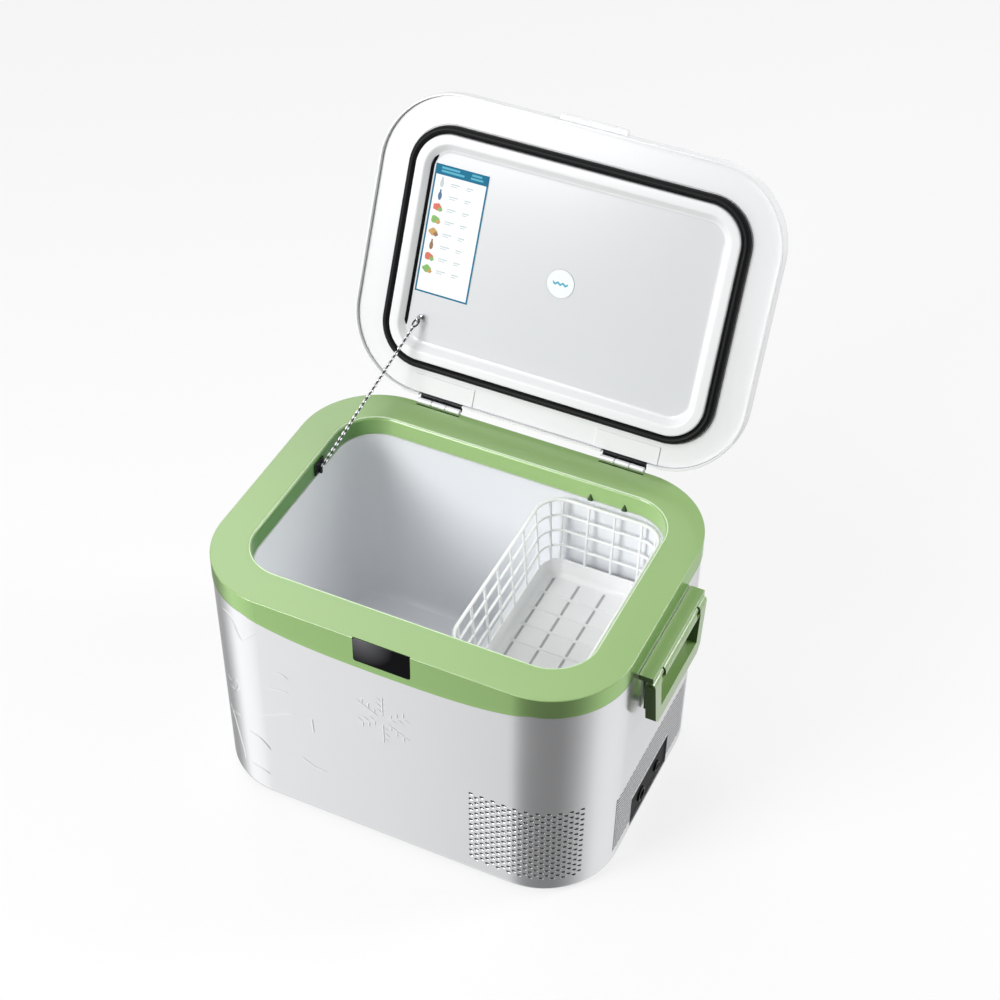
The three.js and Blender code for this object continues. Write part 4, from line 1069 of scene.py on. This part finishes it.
def print_on_chart():
    """Border, header and eight small food marks, each a thin printed film on the sheet."""
    low, high = PAPER_Z - 0.42, PAPER_Z - 0.28
    groups = {"teal": [], "pale": [], "grey": [], "navy": [], "red": [], "leaf": [], "ochre": [], "brown": []}

    def add(group, points):
        groups[group].append(prism(points, "z", low, high))

    w = 2.3
    for x0_, x1_, y0_, y1_ in ((cx0 + 0.3, cx0 + w, cy0 + 0.3, cy1 - 0.3), (cx1 - w, cx1 - 0.3, cy0 + 0.3, cy1 - 0.3),
                               (cx0 + w, cx1 - w, cy1 - w, cy1 - 0.3), (cx0 + w, cx1 - w, cy0 + 0.3, cy0 + 12)):
        add("teal", [(x0_, y0_), (x1_, y0_), (x1_, y1_), (x0_, y1_)])
    for x, y, long in ((8, 2.6, 22), (8, 6.4, 28), (45, 2.6, 12), (44, 6.4, 15)):
        groups["pale"].append(prism([(cx0 + x, cy0 + y), (cx0 + x + long, cy0 + y), (cx0 + x + long, cy0 + y + 2.3),
                                     (cx0 + x, cy0 + y + 2.3)], "z", low - 0.1, high))
    kinds = ["grey", "navy", "red", "leaf", "ochre", "brown", "red", "leaf"]
    for i, kind in enumerate(kinds):
        y = cy0 + 20 + i * 14.3
        x = cx0 + 11
        if i in (0, 1, 5):
            add(kind, blob(x, y + 1.5, 2.3, 4.6, 16))
            add(kind, [(x - 1, y - 6), (x + 1, y - 6), (x + 1, y - 2), (x - 1, y - 2)])
        else:
            add(kind, blob(x - 0.8, y, 5.2, 4.2, 18, 3 + i % 3, 0.12))
            other = {"red": "leaf", "leaf": "ochre", "ochre": "brown"}[kind]
            groups[other].append(prism(blob(x + 3.0, y + 2.2, 2.8, 2.4, 12, 4, 0.1), "z", low - 0.1, high))
        for dx, size in ((22, 11), (41, 8)):
            add("grey", [(cx0 + dx, y - 1.0), (cx0 + dx + size, y - 1.0), (cx0 + dx + size, y + 0.3), (cx0 + dx, y + 0.3)])
            add("grey", [(cx0 + dx, y + 1.6), (cx0 + dx + size * 0.7, y + 1.6), (cx0 + dx + size * 0.7, y + 2.6),
                         (cx0 + dx, y + 2.6)])
    paints = {"teal": TEAL, "pale": PALE_BLUE, "grey": PALE_GREY, "navy": NAVY, "red": RED, "leaf": LEAF,
              "ochre": OCHRE, "brown": BROWN}
    for kind, shapes in groups.items():
        finish(raw("chart_print_" + kind, merged(*shapes), paints[kind], 32, SWING), "lid", "label_paper")


print_on_chart()

label = raw("round_badge", prism(blob(0, 4.3, 16.4, 16.4, 48), "z", PAPER_Z - 0.3, PAPER_Z), PAPER, 32, SWING)
finish(label, "lid", "label_paper", "round_label")
rim = stitch([[(x, y, z) for x, y in blob(0, 4.3, r, r, 48)] for r, z in
              ((16.5, PAPER_Z), (16.5, PAPER_Z - 0.5), (15.9, PAPER_Z - 0.5), (15.9, PAPER_Z))], wrap=True)
finish(raw("badge_rim", rim, PALE_GREY, 32, SWING), "lid", "label_paper")
mark = [prism(smooth_line([(-9 + 3 * i, 3.0 + (1.2 if i % 2 else -0.8)) for i in range(7)], 4)
              + smooth_line([(9 - 3 * i, 5.6 + (1.2 if i % 2 else -0.8)) for i in range(7)], 4), "z", PAPER_Z - 0.42, PAPER_Z - 0.28)]
finish(raw("badge_wave", merged(*mark), PALE_BLUE, 32, SWING), "lid", "label_paper")


# ---- hinges --------------------------------------------------------------------
def knuckle(x, half, radius=3.2):
    steps = [(0.1, -half), (radius - 0.5, -half), (radius, -half + 0.5), (radius, half - 0.5),
             (radius - 0.5, half), (0.1, half)]
    return turned(steps, "x", (x, HINGE_Y, HINGE_Z), 28)


for side, x in (("left", -HINGE_X), ("right", HINGE_X)):
    third = 53 / 3
    leaf = raw("hinge_leaf_" + side, merged(
        box_shape(x - 26.2, x + 26.2, 182.3, 183.8, TOP - 20, TOP + 1.5),
    ), CHROME)
    bevelled(leaf, 0.5, 3)
    finish(leaf, "cooler_body", "hinge_steel", "hinge_fixed_leaf_" + side)
    ends = raw("hinge_knuckles_" + side, merged(knuckle(x - third, third / 2 - 0.25),
                                                knuckle(x + third, third / 2 - 0.25)), BARREL_PAINTED_HIGHLIGHT, 35)
    finish(ends, "cooler_body", "hinge_steel")
    # A thin black strip under the knuckles: painted shadow in the gap at the collar.
    gap_shadow = box_shape(x - 26.8, x + 26.8, HINGE_Y - 4.6, HINGE_Y - 3.4, TOP - 0.4, TOP + 0.55)
    finish(bevelled(raw("hinge_gap_shadow_" + side, gap_shadow, BLACK), 0.2, 2), "cooler_body", "black_plastic")
    screws = []
    for dx in (-18, 0, 18):
        screws.append(turned([(0.1, 0.9), (1.6, 0.9), (2.6, 0.2), (2.7, -0.4), (0.1, -0.4)], "y",
                             (x + dx, 183.9, TOP - 11), 20))
    finish(raw("hinge_screws_" + side, merged(*screws), CHROME, 35), "cooler_body", "hinge_steel")
    barrel = raw("hinge_lid_barrel_" + side, knuckle(x, third / 2 - 0.25), BARREL_PAINTED_HIGHLIGHT, 35, SWING)
    finish(barrel, "lid", "hinge_steel")
    middle = raw("hinge_lid_knuckle_" + side, merged(
        box_shape(x - third / 2 + 0.4, x + third / 2 - 0.4, HINGE_Y - 1.6, HINGE_Y + 1.4, HINGE_Z + 1, FLANGE + 1.7),
        box_shape(x - 26.2, x + 26.2, HINGE_Y - 19, HINGE_Y + 1.4, FLANGE + 0.4, FLANGE + 1.8)),
        KNUCKLE_PAINTED_SHADE, 35, SWING)
    finish(middle, "lid", "hinge_steel", "hinge_lid_leaf_" + side)
    pad = raw("hinge_pad_cover_" + side, box_shape(x - 38, x + 38, HINGE_Y - 29, HINGE_Y - 8.2, FLANGE - 1.2,
                                                   FLANGE + 0.2), LID_WHITE, 32, SWING)
    finish(bevelled(pad, 0.5, 3), "lid", "lid_white", "hinge_pad_" + side)


# ---- chain, eyelet and clip ------------------------------------------------------
def link_shape(centre, along, across, length, width, wire):
    """One oval chain link."""
    path = []
    half, r = length / 2 - width / 2, width / 2 - wire
    for i in range(16):
        a = 2 * math.pi * i / 16
        u = math.copysign(half, math.cos(a)) + r * math.cos(a)
        v = r * math.sin(a)
        path.append(tuple(centre + along * u + across * v))
    return tube(path, wire, 6, closed=True)


def build_chain():
    a, b = Vector(CHAIN_LOW), Vector(CHAIN_TOP)
    along = (b - a).normalized()
    side = along.cross(Vector((0, 0, 1))).normalized()
    up = side.cross(along)
    pitch = 3.6
    count = int((b - a).length / pitch)
    # Alternate links get painted highlight and painted shade, standing in for how face-on and edge-on links catch the
    # light.
    dark, painted_highlight = [], []
    for i in range(count + 1):
        centre = a + along * (i * (b - a).length / count)
        turn = math.radians(45 if i % 2 else -45)
        across = side * math.cos(turn) + up * math.sin(turn)
        (dark if i % 2 else painted_highlight).append(link_shape(centre, along, across, 5.8, 4.4, 0.95))
    return merged(*painted_highlight), merged(*dark)


for tone, links_, finish_ in zip(("painted_highlight", "dark"), build_chain(), (LINK_PAINTED_HIGHLIGHT, DARK_STEEL_AND_PAINTED_SHADE)):
    chain = raw("stay_chain_" + tone, links_, finish_, 60)
    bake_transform(chain)
    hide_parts("stay_chain")

EYE = (-155, 87)
eye_path = [(EYE[0], EYE[1] + 3.6 * math.cos(t), FLANGE - 8.6 + 3.6 * math.sin(t))
            for t in (2 * math.pi * i / 24 for i in range(24))]
eye = raw("lid_eye", merged(
    tube(eye_path, 1.1, 10, closed=True),
    turned([(0.1, 0), (3.6, 0), (4.2, -0.6), (3.6, -1.3), (1.6, -1.6), (1.4, -5), (0.1, -5)], "z",
           (EYE[0], EYE[1], FLANGE - 0.1), 24)), STEEL, 45, SWING)
finish(eye, "lid", "stay_steel", "lid_eyelet")
ring_mid = (Vector(CHAIN_TOP) + Vector(EYE_RING)) / 2
hang = (Vector(EYE_RING) - Vector(CHAIN_TOP)).normalized()
swivel = [tuple(ring_mid + hang * 5.0 * math.cos(t) + Vector((1, 0, 0)) * 3.0 * math.sin(t))
          for t in (2 * math.pi * i / 24 for i in range(24))]
finish(raw("lid_eye_ring", tube(swivel, 1.0, 10, closed=True), DARK_STEEL_AND_PAINTED_SHADE, 45), "lid", "stay_steel")
finish(from_node("chain_clip", 0.6, 3, place_material=BLACK), "cooler_body", "black_plastic", "chain_clip")


# ---- handles -----------------------------------------------------------------------
def shaded_ends(obj):
    """The faces across the handle get a deeper, duller green: painted shade."""
    obj.data.materials.append(GREEN_END_PAINTED_SHADE)
    for face in obj.data.polygons:
        if abs(face.normal.y) > 0.75:
            face.material_index = len(obj.data.materials) - 1
    return obj


for side in ("right", "left"):
    s = 1 if side == "right" else -1
    bracket = from_node("handle_bracket_" + side, 0, place_material=GREEN)
    finish(shaded_ends(bevelled(bracket, 0.9, 3)), "cooler_body", "collar_green", "handle_bracket_" + side)
    grip = from_node("handle_grip_" + side, 0, place_material=GREEN)
    finish(shaded_ends(bevelled(grip, 1.1, 3)), "handle_" + side, "collar_green", "handle_grip_" + side)
    lip = prism([(s * 250, 206), (s * 245, 208), (s * 243.6, 210), (s * 243.6, 215.2), (s * 250, 216.1)], "y", -48.6, 48.6)
    finish(shaded_ends(bevelled(raw("grip_lip_" + side, lip, GREEN), 0.7, 2)), "handle_" + side, "collar_green")


# ---- power panel, sockets, feet, base -------------------------------------------------
def build_panel():
    box = (-54.3, 54.3, 7.4, 56, 5)
    pts = outline(box, 0, 8)
    face = []
    rings = []
    for inset, depth in ((1.3, 6.5), (1.3, 1.2), (2.6, 1.2), (3.4, 1.6), (7, 1.9)):
        rings.append([wall_side(y, z, depth) for y, z in outline(box, inset, 8)])
    return raw("power_panel_face", stitch(rings, cap_first=True, cap_last=True), SOCKET_BLACK, 30)


def wall_side(y, z, depth):
    return (240 - shell_inset(z) - depth, y, z)


panel = build_panel()
holes = [turned([(9.3, -6), (9.3, 12)], "x", (232, -19, 28), 40), turned([(7.3, -6), (7.3, 12)], "x", (232, 26, 28), 40)]
carve(panel, *holes)
finish(panel, "cooler_body", "black_plastic", "power_panel")
face_x = 240 - shell_inset(28)
finish(raw("dc_inlet_barrel", merged(
    turned([(6.3, -15), (9.1, -15), (9.1, 0.2), (8.7, 0.8), (7.0, 0.8), (6.4, 0.3), (6.4, -15)], "x",
           (face_x - 0.4, -19, 28), 40),
    turned([(0.1, -14), (1.5, -14), (1.5, -4.5), (1.0, -4), (0.1, -4)], "x", (face_x, -16, 28), 16),
    turned([(0.1, -14), (1.5, -14), (1.5, -4.5), (1.0, -4), (0.1, -4)], "x", (face_x, -22, 28), 16)),
    BLACK, 35), "cooler_body", "black_plastic", "dc_socket")
finish(bevelled(raw("fuse_cap_knob", merged(
    turned([(0.1, -13), (6.8, -13), (6.8, 0.6), (6.2, 1.2), (0.1, 1.2)], "x", (face_x - 0.6, 26, 28), 36),
    box_shape(face_x - 0.2, face_x + 1.6, 21.4, 30.6, 27.1, 28.9)), BLACK, 35), 0.3, 2),
    "cooler_body", "black_plastic", "fuse_cap")

for end, y in (("front", -112), ("rear", 112)):
    for side, x in (("left", -165), ("right", 165)):
        foot = raw(f"foot_pad_{end}_{side}", turned(
            [(0.1, 0), (12.9, 0), (12.9, -1.6), (12.4, -3.0), (11.4, -3.7), (8.6, -3.7), (8.2, -3.2), (5.0, -3.2),
             (4.6, -3.7), (0.1, -3.7)], "z", (x, y, -0.3), 40), FOOT_RUBBER, 35)
        finish(foot, "cooler_body", "foot_rubber", f"foot_{end}_{side}")


def build_base():
    rings = [ring(PLAN, i, z, 16) for i, z in ((14, 4), (13.4, 3.2), (13.4, 0.5), (14, 0.05), (24, 0), (26, 0.0))]
    rings += [ring(PLAN, i, z, 16) for i, z in ((27, 1.6), (60, 1.6))]
    return raw("base_tray", stitch(rings, cap_first=True, cap_last=True), BLACK, 30)


finish(build_base(), "cooler_body", "black_plastic", "base_pan")

# ---- floor, light and camera -----------------------------------------------------------
floor_mat = material("studio_floor", (0.2, 0.2, 0.2, 1), 0.9, drift=0.003, bump=0.0, spec=0.0)
floor_glow = floor_mat.node_tree.nodes["Principled BSDF"]
floor_glow.inputs["Emission Color"].default_value = (1, 1, 1, 1)
floor_glow.inputs["Emission Strength"].default_value = 0.76
bpy.ops.mesh.primitive_plane_add(size=60, location=(0, 0, -0.004))
floor = bpy.context.object
floor.name = "studio_floor"
floor.data.materials.append(floor_mat)
floor.visible_glossy = False
floor.visible_diffuse = False

world = bpy.data.worlds.new("studio")
bpy.context.scene.world = world
bpy.context.scene.view_settings.view_transform = "Standard"
world.use_nodes = True
wn, wl = world.node_tree.nodes, world.node_tree.links


def world_math(kind, a, b=None):
    node = wn.new("ShaderNodeMath")
    node.operation = kind
    for socket, value in zip(node.inputs, (a, b)):
        if isinstance(value, (int, float)):
            socket.default_value = value
        elif value is not None:
            wl.new(value, socket)
    return node.outputs[0]


def surround(stops, turn):
    """Soft boxes and dark flags round the object: brightness by compass angle from the front."""
    node = wn.new("ShaderNodeValToRGB")
    ramp = node.color_ramp
    while len(ramp.elements) < len(stops):
        ramp.elements.new(0.5)
    for element, (angle, level) in zip(ramp.elements, stops):
        element.position = (angle + 180) / 360
        element.color = (level, level, level, 1)
    wl.new(turn, node.inputs["Fac"])
    return node.outputs["Color"]


def world_mix(amount, a, b):
    node = wn.new("ShaderNodeMix")
    node.data_type = "RGBA"
    wl.new(amount, node.inputs["Factor"])
    for socket, value in ((node.inputs[6], a), (node.inputs[7], b)):
        if isinstance(value, tuple):
            socket.default_value = value
        else:
            wl.new(value, socket)
    return node.outputs[2]


way = wn.new("ShaderNodeTexCoord")
split = wn.new("ShaderNodeSeparateXYZ")
wl.new(way.outputs["Generated"], split.inputs[0])
compass = world_math("ARCTAN2", split.outputs["X"], world_math("MULTIPLY", split.outputs["Y"], -1.0))
turn = world_math("ADD", world_math("DIVIDE", compass, 2 * math.pi), 0.5)
low = surround([(-180, 1.2), (-150, 0.9), (-125, 0.35), (-109, 0.23), (-93, 0.45), (-82, 0.93), (-74, 1.2), (-62, 1.12),
                (-47, 1.06), (-40, 0.99), (-33, 0.88), (-26, 0.86), (-22, 0.58), (-11, 0.31), (0, 0.22),
                (20, 0.19), (45, 0.2), (64, 0.35), (75, 0.5), (87, 0.7), (101, 0.89), (125, 0.92),
                (157, 0.82), (162, 0.74), (180, 0.5)], turn)
high = surround([(-180, 0.3), (-162, 0.35), (-146, 2.0), (-128, 2.0), (-112, 0.4), (-80, 0.6), (-60, 0.75),
                 (-30, 0.5), (0, 0.16), (50, 0.12), (80, 0.7), (125, 0.8), (150, 0.4), (180, 0.3)], turn)
lift = wn.new("ShaderNodeMapRange")
lift.inputs["From Min"].default_value, lift.inputs["From Max"].default_value = 0.12, 0.4
wl.new(split.outputs["Z"], lift.inputs["Value"])
rays = wn.new("ShaderNodeLightPath")
studio_boxes = world_mix(lift.outputs["Result"], low, high)
wl.new(world_mix(rays.outputs["Is Camera Ray"], studio_boxes, (0.95, 0.95, 0.955, 1)),
       wn["Background"].inputs["Color"])
softer = world_math("SUBTRACT", 1.0, world_math("MULTIPLY", rays.outputs["Is Diffuse Ray"], 0.2))
wl.new(softer, wn["Background"].inputs["Strength"])


def area(name, place, aim, size, power, size_y=None):
    data = bpy.data.lights.new(name, "AREA")
    data.energy = power
    data.shape, data.size, data.size_y = "RECTANGLE", size, size_y or size
    light = bpy.data.objects.new(name, data)
    bpy.context.scene.collection.objects.link(light)
    light.location = place
    light.rotation_mode = "QUATERNION"
    light.rotation_quaternion = (Vector(aim) - Vector(place)).to_track_quat("-Z", "Y")
    return light


area("key_softbox", (-1.27, -2.08, 1.6), (0, 0, 0.35), 1.1, 57)
area("top_softbox", (-0.5, -0.7, 2.5), (0, 0, 0.2), 0.8, 7)
area("rim_softbox", (1.9, 1.3, 1.5), (0, 0, 0.25), 0.8, 27)

AZIMUTH, ELEVATION, ROLL = 26.2106, 41.7359, -0.2263
DISTANCE, AIM = 2.26761, Vector((0.000915, 0.000501, 0.400868))
a, e = math.radians(AZIMUTH), math.radians(ELEVATION)
back = Vector((math.sin(a) * math.cos(e), -math.cos(a) * math.cos(e), math.sin(e)))
right = Vector((0, 0, 1)).cross(back).normalized()
up = back.cross(right)
c, s = math.cos(math.radians(ROLL)), math.sin(math.radians(ROLL))
right, up = c * right + s * up, c * up - s * right
camera_data = bpy.data.cameras.new("camera")
camera_data.sensor_width = 36
camera_data.lens = 78.543
camera_data.shift_x, camera_data.shift_y = 0.04078, -0.02811
camera_data.clip_end = 50
camera = bpy.data.objects.new("camera", camera_data)
bpy.context.scene.collection.objects.link(camera)
camera.matrix_world = Matrix.Translation(AIM + back * DISTANCE) @ Matrix(
    (right, up, back)).transposed().to_4x4()
bpy.context.scene.camera = camera
